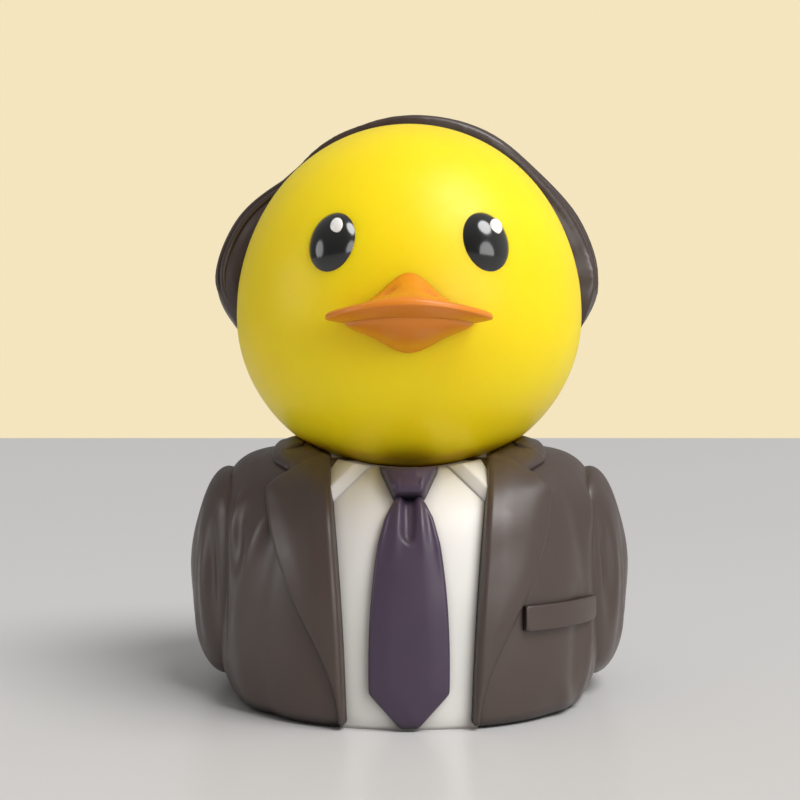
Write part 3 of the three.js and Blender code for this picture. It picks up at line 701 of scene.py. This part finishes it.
# Necktie
# A thick PVC tie, sprayed satin purple and glued on the shirt: a padded knot, a dimple below it, and a blade
# that widens down to a blunt point at the base.
TIE_INSET = 0.9
TIE_SKIRT = 0.9
TIE_CHIN_GAP = -0.15
BLADE_THICKNESS = 1.1
BLADE_EDGE = 0.55
BLADE_FULLNESS = 0.25
BLADE_TUCK = 0.35
DIMPLE_DEPTH = 0.75
LIP_HEIGHT = 0.3
OUTER_DEPTH = 0.18
KNOT_FOOT = 30.4
KNOT_THICKNESS = 2.4
KNOT_EDGE = 0.7
KNOT_FULLNESS = 0.55
KNOT_CREASE = 0.15


def blade_relief(points, distance):
    """A dimple under the knot, with folds beside it that fan out and die away down the blade."""
    x, z = points.T
    down = np.clip((KNOT_FOOT - z) / 6, 0, 3)
    dimple = 1 - smoothstep(np.hypot(x / 1.05, np.maximum(down - 0.75, 0) / 0.28), 0.45, 1.15)
    lips = np.exp(-(((np.abs(x) - 1.5 - 0.35 * down) / 0.55) ** 2)) * (1 - smoothstep(down, 0.6, 1.5))
    outer = np.exp(-(((np.abs(x) - 2.1 - 1.0 * down) / 0.5) ** 2)) * (1 - smoothstep(down, 0.5, 2))
    relief = BLADE_FULLNESS * smoothstep(distance, 0, 3) - DIMPLE_DEPTH * dimple
    relief = relief + LIP_HEIGHT * lips - OUTER_DEPTH * outer
    return relief * smoothstep(distance, 0.1, 0.9) - BLADE_TUCK * smoothstep(z, KNOT_FOOT - 1.2, KNOT_FOOT)


def knot_relief(points, distance):
    """A padded knot with a faint crease across its foot."""
    x, z = points.T
    crease = np.exp(-(((z - KNOT_FOOT - 1) / 0.7) ** 2)) * (np.abs(x) < 1.5)
    return KNOT_FULLNESS * smoothstep(distance, 0, 2.2) - KNOT_CREASE * crease


half_blade = np.vstack([
    [(1.2, 0.45)],
    bezier((5.3, 5), (5.5, 12), (5.15, 19), (4.0, 25.5), 20),
    [(3.3, 27.6), (1.8, 30.4), (1.8, 31.4)],
])
blade_corners = np.vstack([half_blade, half_blade[::-1] * [-1, 1]])
half_knot = np.array([(2.05, 30.2), (2.95, 32), (4.15, 34.3), (4.3, 36.4)])
knot_corners = np.vstack([half_knot, half_knot[::-1] * [-1, 1]])
# The second colour is the painted shade in the tie's creases.
tie_vinyl = sprayed_vinyl("sprayed_vinyl_tie", "#443749", "#1a151d", 0.38, gleam=0.38)
tie_parts = joined(
    applique(blade_corners, BLADE_THICKNESS, BLADE_EDGE, TIE_INSET, TIE_SKIRT, step=0.35,
             relief=blade_relief),
    applique(knot_corners, KNOT_THICKNESS, KNOT_EDGE, TIE_INSET, TIE_SKIRT, radius=0.5, step=0.3,
             relief=knot_relief),
)
tie = make_piece("blade_and_knot", under_chin(tie_parts[0], TIE_CHIN_GAP), tie_parts[1], tie_vinyl)
finish_piece(tie, "tie_vinyl", "necktie")


# Sleeves
# Each wing is a jacket sleeve: a shallow cushion moulded apart and glued on by a peg, with a few soft
# creases that run down it.
WING_OUTLINE = [(-11.5, 30.5), (-2, 34.5), (12, 28.5), (31, 19), (22, 7.8), (6, 1.8), (-10, 4.8), (-14, 15)]
WING_CENTRE = np.array([2, 15])
WING_THICKNESS = 5.8
WING_WRAP = 0.011


def smooth_loop(corners, count):
    """Points of a closed centripetal Catmull-Rom curve, evenly spaced."""
    corners = np.asarray(corners, float)
    points = []
    for i in range(len(corners)):
        four = corners[[(i + k) % len(corners) for k in (-1, 0, 1, 2)]]
        knots = travelled(four, 0.5)
        for t in np.linspace(knots[1], knots[2], 40, endpoint=False):
            level = four
            for spans in (((0, 1), (1, 2), (2, 3)), ((0, 2), (1, 3)), ((1, 2),)):
                parts = [(t - knots[a]) / (knots[b] - knots[a]) for a, b in spans]
                level = [(1 - part) * level[k] + part * level[k + 1] for k, part in enumerate(parts)]
            points.append(level[0])
    return even_steps(np.array(points + points[:1]), count)


def sleeve_cushion():
    """The left sleeve: the wing's outline, raised to a cushion that wraps round the body."""
    outline = smooth_loop(WING_OUTLINE, 200)
    rises = [(0.94, -6), (0.98, -3), (1, -1)]
    for turn in np.radians(np.linspace(4, 89.5, 60)):
        rises.append((math.cos(turn) ** 0.9, WING_THICKNESS * math.sin(turn) - 1))
    rings = []
    for scale, out in rises:
        flat = WING_CENTRE + (outline - WING_CENTRE) * scale
        x = HALF_WIDTH - WING_WRAP * (flat[:, 0] - WING_CENTRE[0]) ** 2 + out
        rings.append(np.column_stack([x, flat]))
    return skin([ring[::-1] for ring in rings])


# Creases from the sleeve's front edge, ridge and valley in turn, back to the wing's tip.
sleeve_folds = [
    ((31.8, -10.3, 18), (0.05, 0, -1), 9, 1.3, 0.6),
    ((29.8, -12, 20), (0.1, 0, -1), 9, 1.3, -0.7),
    ((33.2, -8, 23), (0, 0.2, -1), 8, 1.4, 0.5),
    ((34, -5.5, 19), (0, 0.3, -1), 9, 1.5, -0.7),
    ((34.5, -1, 20), (0, 0.45, -1), 9, 1.9, 0.5),
    ((34.5, 5, 20), (0, 0.6, -1), 9, 1.7, -0.5),
    ((34, 11, 20), (0, 0.8, -1), 8, 1.8, 0.45),
    ((34, 16, 17), (0, 1, -0.7), 8, 1.5, -0.4),
    ((33, -8, 8), (0, 0.1, -1), 5, 1.5, -0.35),
    ((33, 24, 16), (0, 1, -0.1), 6, 1.4, -0.4),
]
for side, sign, shape in (("left", 1, sleeve_cushion()), ("right", -1, mirrored(sleeve_cushion()))):
    sleeve = make_piece(side + "_sleeve", *shape, jacket_vinyl)
    add_folds(sleeve, [((sign * x, y, z), *rest) for (x, y, z), *rest in sleeve_folds])
    finish_piece(sleeve, "jacket_vinyl", side + "_wing")


# Head
# The duck's head is one hollow ball of soft yellow PVC, a little wider than it is deep, moulded smooth and
# sprayed satin. It is plugged into the neck of the jacket.
CHEEK_FULLNESS = 0.04
CHEEK_HEIGHT = -0.25
CHEEK_SPREAD = 0.45


def head_form(directions, thickness=0):
    """The head's skin in given directions from its centre, thickened evenly."""
    p = unit(directions)
    cheeks = 1 + CHEEK_FULLNESS * np.exp(-(((p[:, 2] - CHEEK_HEIGHT) / CHEEK_SPREAD) ** 2))
    flat = (np.hypot(p[:, 0], p[:, 1]) ** UNDER_POWER + np.abs(p[:, 2]) ** UNDER_POWER) ** (1 / UNDER_POWER)
    p = p / np.where(p[:, 2] < 0, flat, 1)[:, None]
    thickness = np.broadcast_to(thickness, cheeks.shape)
    size = np.stack([HEAD_HALF[0] * cheeks, HEAD_HALF[1] * cheeks, np.full_like(cheeks, HEAD_HALF[2])], 1)
    return HEAD_CENTRE + p * (size + thickness[:, None])


def ball(around, levels, pole):
    """Directions in rings up a ball, which stop short of each pole by a small angle."""
    turns = np.linspace(0, 2 * math.pi, around, endpoint=False)
    rings = []
    for polar in np.linspace(math.pi - pole, pole, levels):
        across, up = math.sin(polar), np.full_like(turns, math.cos(polar))
        rings.append(np.stack([across * np.cos(turns), across * np.sin(turns), up], 1))
    return rings


# The second colour is a faint painted shade in the head's creases.
head_vinyl = sprayed_vinyl("satin_vinyl_head", "#f7da12", "#f1c910", 0.38, softness=0.6, gleam=0.25, glow=6)
head = make_piece("round_head", *skin([head_form(ring) for ring in ball(220, 130, 0.012)]), head_vinyl)
finish_piece(head, "head_vinyl", "head")


# Bill
# A flat duck's bill in two shells that meet at a closed mouth line, moulded in soft PVC, sprayed orange and
# plugged into the head. Two small nostrils are pressed into its top.
BILL_HEIGHT = -6.5
BILL_CURL = 0.004
BILL_PLAN_POWER = 2.8
BILL_RIDGE_WIDTH = 4.6
BILL_ROOT_SHARE = 0.8
MOUTH_DIP = 1.6
MOUTH_LIFT = 2.4
UPPER_BILL = {"length": 14, "width": 11.5, "ridge": 5.2, "ridge_tip": 0.7, "edge": 1.9, "lap": 0.5}
LOWER_BILL = {"length": 11, "width": 9, "ridge": 2.2, "ridge_tip": 0.6, "edge": 1.8, "lap": 0.3}
NOSTRIL_SIDE = 2.7
NOSTRIL_PLACE = 0.36
NOSTRIL_HALF = (0.65, 1.1)
NOSTRIL_DEPTH = 1.9


def bill_shell(shape, upper):
    """One half of the bill, in rings from inside the head to its tip. Its lap crosses the mouth line."""
    rings = []
    turns = np.linspace(0, 2 * math.pi, 96, endpoint=False)
    steps = np.concatenate([[-0.45], np.sin(np.linspace(0, math.pi / 2, 64))])
    for t in steps:
        s = max(t, 0)
        round_tip = max(1 - s**BILL_PLAN_POWER, 1e-4) ** 0.5
        widened = math.sin(math.pi / 2 * min(1, s / 0.6))
        width = shape["width"] * round_tip * (BILL_ROOT_SHARE + (1 - BILL_ROOT_SHARE) * widened)
        reach = s * shape["length"] / UPPER_BILL["length"]
        mouth = BILL_HEIGHT - MOUTH_DIP * reach + MOUTH_LIFT * reach**3
        x = -width * np.cos(turns)
        up = np.sin(turns)
        ridge = (shape["ridge"] + (shape["ridge_tip"] - shape["ridge"]) * s**0.8) * round_tip**0.5
        body = shape["edge"] * round_tip + ridge * np.exp(-((x / BILL_RIDGE_WIDTH) ** 2))
        lap = shape["lap"] * round_tip
        high, low = (body, lap) if upper else (lap, body)
        rise = np.where(up > 0, high * np.abs(up) ** 0.7, -low * np.abs(up) ** 0.7)
        z = mouth + rise + BILL_CURL * x**2
        y = np.full_like(x, -HEAD_HALF[1] - t * shape["length"])
        rings.append(np.stack([x, y, z], 1) + HEAD_CENTRE)
    return skin([ring[::-1] for ring in rings])


# The second colour is the painted shade in the bill's creases.
bill_vinyl = sprayed_vinyl("satin_vinyl_bill", "#e2841a", "#a4520c", 0.36, softness=0.15)
bill_shells = joined(bill_shell(UPPER_BILL, True), bill_shell(LOWER_BILL, False))
bill = make_piece("bill_shells", *bill_shells, bill_vinyl)
bill_points, _ = vertex_places(bill.data)
nostril_y = HEAD_CENTRE[1] - HEAD_HALF[1] - NOSTRIL_PLACE * UPPER_BILL["length"]
for nostril_x in (-NOSTRIL_SIDE, NOSTRIL_SIDE):
    across = (bill_points[:, 0] - nostril_x) / NOSTRIL_HALF[0]
    along = (bill_points[:, 1] - nostril_y) / NOSTRIL_HALF[1]
    on_top = bill_points[:, 2] > HEAD_CENTRE[2] + BILL_HEIGHT + 0.5
    bill_points[:, 2] -= on_top * NOSTRIL_DEPTH * np.exp(-(np.hypot(across, along) ** 2))
set_places(bill.data, bill_points)
finish_piece(bill, "bill_vinyl", "bill")


# Eyes
# Round open eyes: hard black buttons pressed a little into the head and enamelled to a high gloss, each with
# a painted highlight: a small dot of white paint, as printed on toy eyes, that stands for a glint.
EYE_HALF = np.array([4, 2.8, 4.9])
EYE_SINK = 1.2
EYE_TURN = 24
EYE_RISE = 10
GLINT_DOT_HALF = np.array([0.95, 0.3, 1.1])
GLINT_DOT_PLACE = (1.1, -0.89 * EYE_HALF[1], 2.1)
EYE_COAT_ROUGHNESS = 0.14


def button(half, levels):
    """An oval bead with its half-sizes."""
    return skin([ring * half for ring in ball(2 * levels, levels, 0.03)])


def eye_turned(points, side):
    """Sets points, made facing -Y round the origin, at an eye's place on the head."""
    rise, turn = math.radians(-EYE_RISE), math.radians(side * EYE_TURN)
    about_x = np.array([[1, 0, 0], [0, math.cos(rise), -math.sin(rise)], [0, math.sin(rise), math.cos(rise)]])
    about_z = np.array([[math.cos(turn), -math.sin(turn), 0], [math.sin(turn), math.cos(turn), 0], [0, 0, 1]])
    return HEAD_CENTRE + (points + [0, EYE_SINK - HEAD_HALF[1], 0]) @ (about_z @ about_x).T


def painted_gloss(name, colour, roughness):
    """Gloss enamel brushed on vinyl: a deep even colour under a clear wet-looking coat."""
    material = sprayed_vinyl(name, colour, colour, roughness, coat=0.6)
    material.node_tree.nodes["Principled BSDF"].inputs["Coat Roughness"].default_value = EYE_COAT_ROUGHNESS
    return material


eye_black = painted_gloss("gloss_enamel_black", "#121212", 0.14)
eye_glint_white = painted_gloss("painted_glint_white_enamel", "#f4f3ee", 0.25)
for side, name in ((1, "left_eye"), (-1, "right_eye")):
    points, faces = button(EYE_HALF, 48)
    eye = make_piece(name + "_button", eye_turned(points, side), faces, eye_black)
    finish_piece(eye, "eye_gloss", name)
    # Painted highlight: a white dot high on each eye that stands for a glint.
    points, faces = button(GLINT_DOT_HALF, 20)
    dot = make_piece(name + "_dot", eye_turned(points + GLINT_DOT_PLACE, side), faces, eye_glint_white)
    finish_piece(dot, "eye_gloss")


# Hair
# A moulded PVC cap of swept hair, glued on the back of the head: thin along a parting on the duck's right and
# full over the ears. Combed locks run over the crown and down to the nape, with fine strands at the front.
HAIR_CROWN = 2.3
HAIR_SIDE = 3.7
HAIR_EDGE = 0.8
HAIR_PARTING = 1.3
HAIR_LINE = [(-2.5, 26.4), (-1.5, 22.6), (2, 14), (3.2, 8), (1, 2), (2, -4.5), (5.5, -6.5), (10, -5.5),
             (17, -11), (24, -13)]
HAIR_RIM = 5.5
RIM_SHARE = 0.62
SIDE_PLACE = (76, 22)
PARTING_PLACE = (46, 13)
SIDE_END = 101
NAPE_DROP = 17
END_TAPER = 21
CAP_UNDERSIDE = -1.2
PARTING_TURN = -30
LOCK_END_TURN = 97
LOCK_EDGE = 0.975
LOCK_STEPS = 40
LOCK_TIP = 0.05
LOCK_BLUNTNESS = 0.4
THIN_LOCKS = ((1, 13), (-1, 11))
MAIN_LOCKS = 4
MAIN_RADIUS = 4.5
MAIN_PROUD = 1.0
LOCK_WIDTH = 2.4
LOCK_PROUD = 0.6
LOCK_VOXEL = 0.39
STRAND_LEANS = (12, 32, 52)
STRAND_WIDTH = 1.15
STRAND_SINK = 0.2


def hump(angle, middle, spread):
    """A smooth hump of height 1, with its middle and spread in degrees."""
    return np.exp(-(((np.degrees(angle) - middle) / spread) ** 2))


def hair_edge(around):
    """Angle from the back of the head to the hair's edge, at angles round it from the top. HAIR_LINE gives
    the edge as (y, z) on the left side, from the crown to the nape."""
    line = np.array(HAIR_LINE, float)
    y, z = line[:, 0] / HEAD_HALF[1], line[:, 1] / HEAD_HALF[2]
    x = np.sqrt(np.maximum(1 - y**2 - z**2, 0))
    size = np.sqrt(x**2 + y**2 + z**2)
    turn = np.maximum.accumulate(np.arctan2(x, z))
    turn[-1] = math.pi
    even = np.linspace(0, math.pi, 181)
    edge = np.interp(even, turn, np.arccos(np.clip(y / size, -1, 1)))
    edge = np.convolve(np.pad(edge, 5, "reflect"), np.ones(11) / 11, "valid")
    return np.interp(np.abs(around), even, edge)


def back_direction(from_back, around):
    """A direction at an angle from straight back, turned round that axis from the top to the left."""
    across = np.sin(from_back)
    return np.stack([across * np.sin(around), np.cos(from_back), across * np.cos(around)], -1)


def hair_thickness(directions):
    """The hair is full over the ears, parted on the right, and thins to its lower edge and its front rim."""
    p = unit(directions)
    polar = np.arccos(np.clip(p[:, 2], -1, 1))
    flat = np.maximum(np.hypot(p[:, 0], p[:, 1]), 1e-6)
    full = HAIR_CROWN + HAIR_SIDE * hump(polar, *SIDE_PLACE)
    right = smoothstep(-p[:, 0] / flat, 0, 0.6)
    parted = full - HAIR_PARTING * (0.25 + 0.75 * right) * hump(polar, *PARTING_PLACE)
    reach = SIDE_END + NAPE_DROP * np.clip(p[:, 1] / flat, 0, 1)
    edge = smoothstep(reach - np.degrees(polar), 0, END_TAPER)
    behind = hair_edge(np.arctan2(p[:, 0], p[:, 2])) - np.arccos(np.clip(p[:, 1], -1, 1))
    rim = RIM_SHARE + (1 - RIM_SHARE) * smoothstep(behind * HEAD_HALF[1], 0, HAIR_RIM)
    return (HAIR_EDGE + (parted - HAIR_EDGE) * np.sqrt(edge)) * rim


def hair_cap():
    """The closed cap under the locks, with its underside inside the head."""
    around = np.linspace(-math.pi, math.pi, 240, endpoint=False)
    outer = [back_direction(hair_edge(around) * part, around) for part in np.linspace(0.02, 1, 70)]
    under = [back_direction(hair_edge(around) * part, around) for part in (1, 0.7, 0.35, 0.02)]
    rings = [head_form(ring, hair_thickness(ring)) for ring in outer]
    rings += [head_form(ring, CAP_UNDERSIDE) for ring in under]
    return skin(rings[::-1])


def lock_path(u, side, t):
    """Directions along one lock, from the parting over the crown, or straight down from it, to the hair's
    lower edge. u runs from 0 at the front to 1 at the nape, and t from 0 to 1 along the lock."""
    parting, lower = math.radians(PARTING_TURN + 8 * u), math.radians(side * (LOCK_END_TURN + 76 * u))
    turn = parting + (lower - parting) * t
    front = back_direction(hair_edge(turn) * LOCK_EDGE, turn)
    start = back_direction(hair_edge(parting) * (LOCK_EDGE - 0.7 * u), parting)
    end = back_direction(hair_edge(lower) * 0.96, lower)
    angle = math.acos(start @ end)
    straight = np.sin((1 - t) * angle)[:, None] * start + np.sin(t * angle)[:, None] * end
    straight /= math.sin(angle)
    return front + (straight - front) * smoothstep(u, 0, 0.4)


def sinking(t):
    """How far a lock has sunk into the cap, from about 0 at its middle to 1 near its ends."""
    return 1 - np.sin(math.pi * np.clip(t, 0.03, 0.97)) ** 0.35


def broad_depth(directions, t):
    """How far out the middle of a broad lock lies."""
    return hair_thickness(directions) + MAIN_PROUD - MAIN_RADIUS - 1.5 * sinking(t)


def lock_paths():
    """Paths and widths of the locks: a few broad ones, and thin ones that lie over them."""
    rng = np.random.default_rng(4)
    t = np.linspace(0, 1, LOCK_STEPS)
    paths, widths = [], []
    for side, count in THIN_LOCKS:
        for u in (np.arange(MAIN_LOCKS) + 0.5) / MAIN_LOCKS:
            directions = lock_path(u, side, t)
            paths.append(head_form(directions, broad_depth(directions, t)))
            widths.append(2 * MAIN_RADIUS)
        for u in np.linspace(-0.03, 1, count):
            sway = 0.04 * u * rng.uniform(-1, 1) * np.sin(math.pi * t)[:, None]
            directions = lock_path(u, side, t) + sway * [0, 1, 0.3]
            width = LOCK_WIDTH * rng.uniform(0.8, 1.25)
            proud = LOCK_PROUD + 0.3 * rng.uniform(-1, 1)
            depth = hair_thickness(directions) + proud - width / 2 - 1.2 * sinking(t)
            paths.append(head_form(directions, depth))
            widths.append(width)
    return paths, widths


def front_strands():
    """Paths and widths of fine strands that lie on the foremost broad lock of each side."""
    t = np.linspace(0, 1, LOCK_STEPS)
    radius = MAIN_RADIUS * np.maximum(np.sin(math.pi * t), LOCK_TIP) ** LOCK_BLUNTNESS - STRAND_SINK
    paths = []
    for side in (1, -1):
        along = unit(lock_path(0.5 / MAIN_LOCKS, side, t))
        forward = unit(along * along[:, 1:2] - [0, 1, 0])
        middle = broad_depth(along, t)
        for lean in np.radians(STRAND_LEANS):
            directions = along + forward * (radius * math.sin(lean) / HEAD_HALF[0])[:, None]
            paths.append(head_form(directions, middle + radius * math.cos(lean)))
    return paths, [STRAND_WIDTH] * len(paths)


def locks_tree(material):
    """Geometry Nodes that sweep each path into a tapering lock."""
    tree = bpy.data.node_groups.new("combed_locks", "GeometryNodeTree")
    tree.is_modifier = True
    tree.interface.new_socket("Geometry", in_out="OUTPUT", socket_type="NodeSocketGeometry")
    for name, kind in (("Geometry", "Geometry"), ("Width scale", "Float"), ("Steps along", "Int"),
                       ("Steps around", "Int")):
        tree.interface.new_socket(name, in_out="INPUT", socket_type="NodeSocket" + kind)
    given = add_node(tree, "NodeGroupInput").outputs
    curve = add_node(tree, "GeometryNodeMeshToCurve", Mesh=given["Geometry"])
    even = add_node(tree, "GeometryNodeResampleCurve", Curve=curve.outputs[0], Count=given["Steps along"])
    along = add_node(tree, "GeometryNodeSplineParameter").outputs["Factor"]
    width = add_node(tree, "GeometryNodeInputNamedAttribute", {"data_type": "FLOAT"}, Name="lock_width")
    half = add_node(tree, "ShaderNodeMath", {"operation": "MULTIPLY"}, i0=width.outputs[0],
                    i1=given["Width scale"])
    radius = along
    for operation, by in (("MULTIPLY", math.pi), ("SINE", 0.0), ("MAXIMUM", LOCK_TIP),
                          ("POWER", LOCK_BLUNTNESS), ("MULTIPLY", half.outputs[0])):
        radius = add_node(tree, "ShaderNodeMath", {"operation": operation}, i0=radius, i1=by).outputs[0]
    section = add_node(tree, "GeometryNodeCurvePrimitiveCircle", Resolution=given["Steps around"], Radius=1.0)
    swept = add_node(tree, "GeometryNodeCurveToMesh", i0=even.outputs[0], i1=section.outputs[0], Scale=radius,
                     Fill_Caps=True)
    whole = add_node(tree, "GeometryNodeRealizeInstances", i0=swept.outputs[0])
    finished = add_node(tree, "GeometryNodeSetMaterial", Geometry=whole.outputs[0], Material=material)
    add_node(tree, "NodeGroupOutput", i0=finished.outputs[0])
    return tree


# The second colour is the painted shade deep between the locks.
hair_vinyl = sprayed_vinyl("sprayed_vinyl_hair", "#3d2f29", "#180f0c", 0.36)
combed_locks = locks_tree(hair_vinyl)


def add_locks(hair, paths, widths):
    """Sweep the paths into locks and join them to the hair."""
    points = np.vstack(paths)
    edges = [(i, i + 1) for i in range(len(points) - 1) if (i + 1) % len(paths[0])]
    mesh = bpy.data.meshes.new("locks")
    mesh.from_pydata((points * MM).tolist(), edges, [])
    width = mesh.attributes.new("lock_width", "FLOAT", "POINT")
    width.data.foreach_set("value", np.repeat(widths, len(paths[0])).astype(np.float32))
    locks = add_object("locks", mesh)
    sweep = locks.modifiers.new("combed_locks", "NODES")
    sweep.node_group = combed_locks
    sizes = {"Width scale": MM / 2, "Steps along": 48, "Steps around": 14}
    for item in combed_locks.interface.items_tree:
        if item.in_out == "INPUT" and item.name in sizes:
            sweep[item.identifier] = sizes[item.name]
    plain_mesh(locks)
    with bpy.context.temp_override(active_object=hair, selected_editable_objects=[hair, locks]):
        bpy.ops.object.join()


hair = make_piece("swept_hair", *hair_cap(), hair_vinyl)
add_locks(hair, *lock_paths())
soften(hair, LOCK_VOXEL, 2)
add_locks(hair, *front_strands())
finish_piece(hair, "hair_vinyl", "hair")


# Floor, backdrop and light
# A wide pale grey board and a cream wall far behind. White cards stand round the duck, brightest at its left
# side and above, and a large soft lamp is high on that side. The lamps low in front and at its right light
# only the duck, so they leave no glare on the board.
FLOOR_HALF = 40_000
CARDS = [((-1, 0, 0), 0.2), ((1, 0, 0), 0.65), ((0, -1, 0), 0.2), ((0, 1, 0), 0.3), ((0, 0, 1), 0.48)]
LAMPS = [
    ("key_lamp", 2.25, 32, (0.6, -0.5, 1.08)),
    ("low_lamp", 1.7, 45, (0.6, -0.8, 0.04)),
    ("side_lamp", 0.5, 28, (-1, -0.22, 0.2)),
]

floor_mesh = bpy.data.meshes.new("studio_floor")
floor_mesh.from_pydata([(x, y, 0) for x, y in ((-1, -1), (1, -1), (1, 1), (-1, 1))], [], [(0, 1, 2, 3)])
floor_mesh.transform(Matrix.Scale(FLOOR_HALF * MM, 4))
floor = add_object("studio_floor", floor_mesh)
# Satin melamine board: it mirrors the duck's foot softly.
floor_paint = bpy.data.materials.new("satin_grey_board")
floor_paint.use_nodes = True
floor_shader = floor_paint.node_tree.nodes["Principled BSDF"]
floor_shader.inputs["Base Color"].default_value = linear("#e0dfde")
floor_shader.inputs["Roughness"].default_value = 0.3
floor_shader.inputs["Specular IOR Level"].default_value = 0.4
floor_mesh.materials.append(floor_paint)

world = bpy.data.worlds.new("cream_wall")
bpy.context.scene.world = world
world.use_nodes = True
sky = world.node_tree
wall = sky.nodes["Background"]
wall.inputs["Color"].default_value = linear("#f4e5bf")
seen = add_node(sky, "ShaderNodeLightPath").outputs["Is Camera Ray"]
towards = add_node(sky, "ShaderNodeTexCoord").outputs["Generated"]
glow = 0.0
for card_side, brightness in CARDS:
    facing = add_node(sky, "ShaderNodeVectorMath", {"operation": "DOT_PRODUCT"}, i0=towards, i1=card_side)
    card = add_node(sky, "ShaderNodeMath", {"operation": "MAXIMUM"}, i0=facing.outputs["Value"], i1=0.0)
    card = add_node(sky, "ShaderNodeMath", {"operation": "MULTIPLY"}, i0=card.outputs[0], i1=card.outputs[0])
    card = add_node(sky, "ShaderNodeMath", {"operation": "MULTIPLY_ADD"}, i0=card.outputs[0], i1=brightness,
                    i2=glow)
    glow = card.outputs[0]
fill = add_node(sky, "ShaderNodeBackground", Color=linear("#f6f4f2"), Strength=glow)
either = add_node(sky, "ShaderNodeMixShader", i0=seen, i1=fill.outputs[0], i2=wall.outputs[0])
sky.links.new(either.outputs[0], sky.nodes["World Output"].inputs["Surface"])

duck_only = bpy.data.collections.new("all_but_the_floor")
duck_only.objects.link(floor)
duck_only.collection_objects[0].light_linking.link_state = "EXCLUDE"
for name, strength, spread, direction in LAMPS:
    lamp = bpy.data.lights.new(name, "SUN")
    lamp.energy = strength
    lamp.angle = math.radians(spread)
    lamp = add_object(name, lamp)
    lamp.rotation_euler = Vector(direction).to_track_quat("Z", "Y").to_euler()
    if name != "key_lamp":
        lamp.light_linking.receiver_collection = duck_only
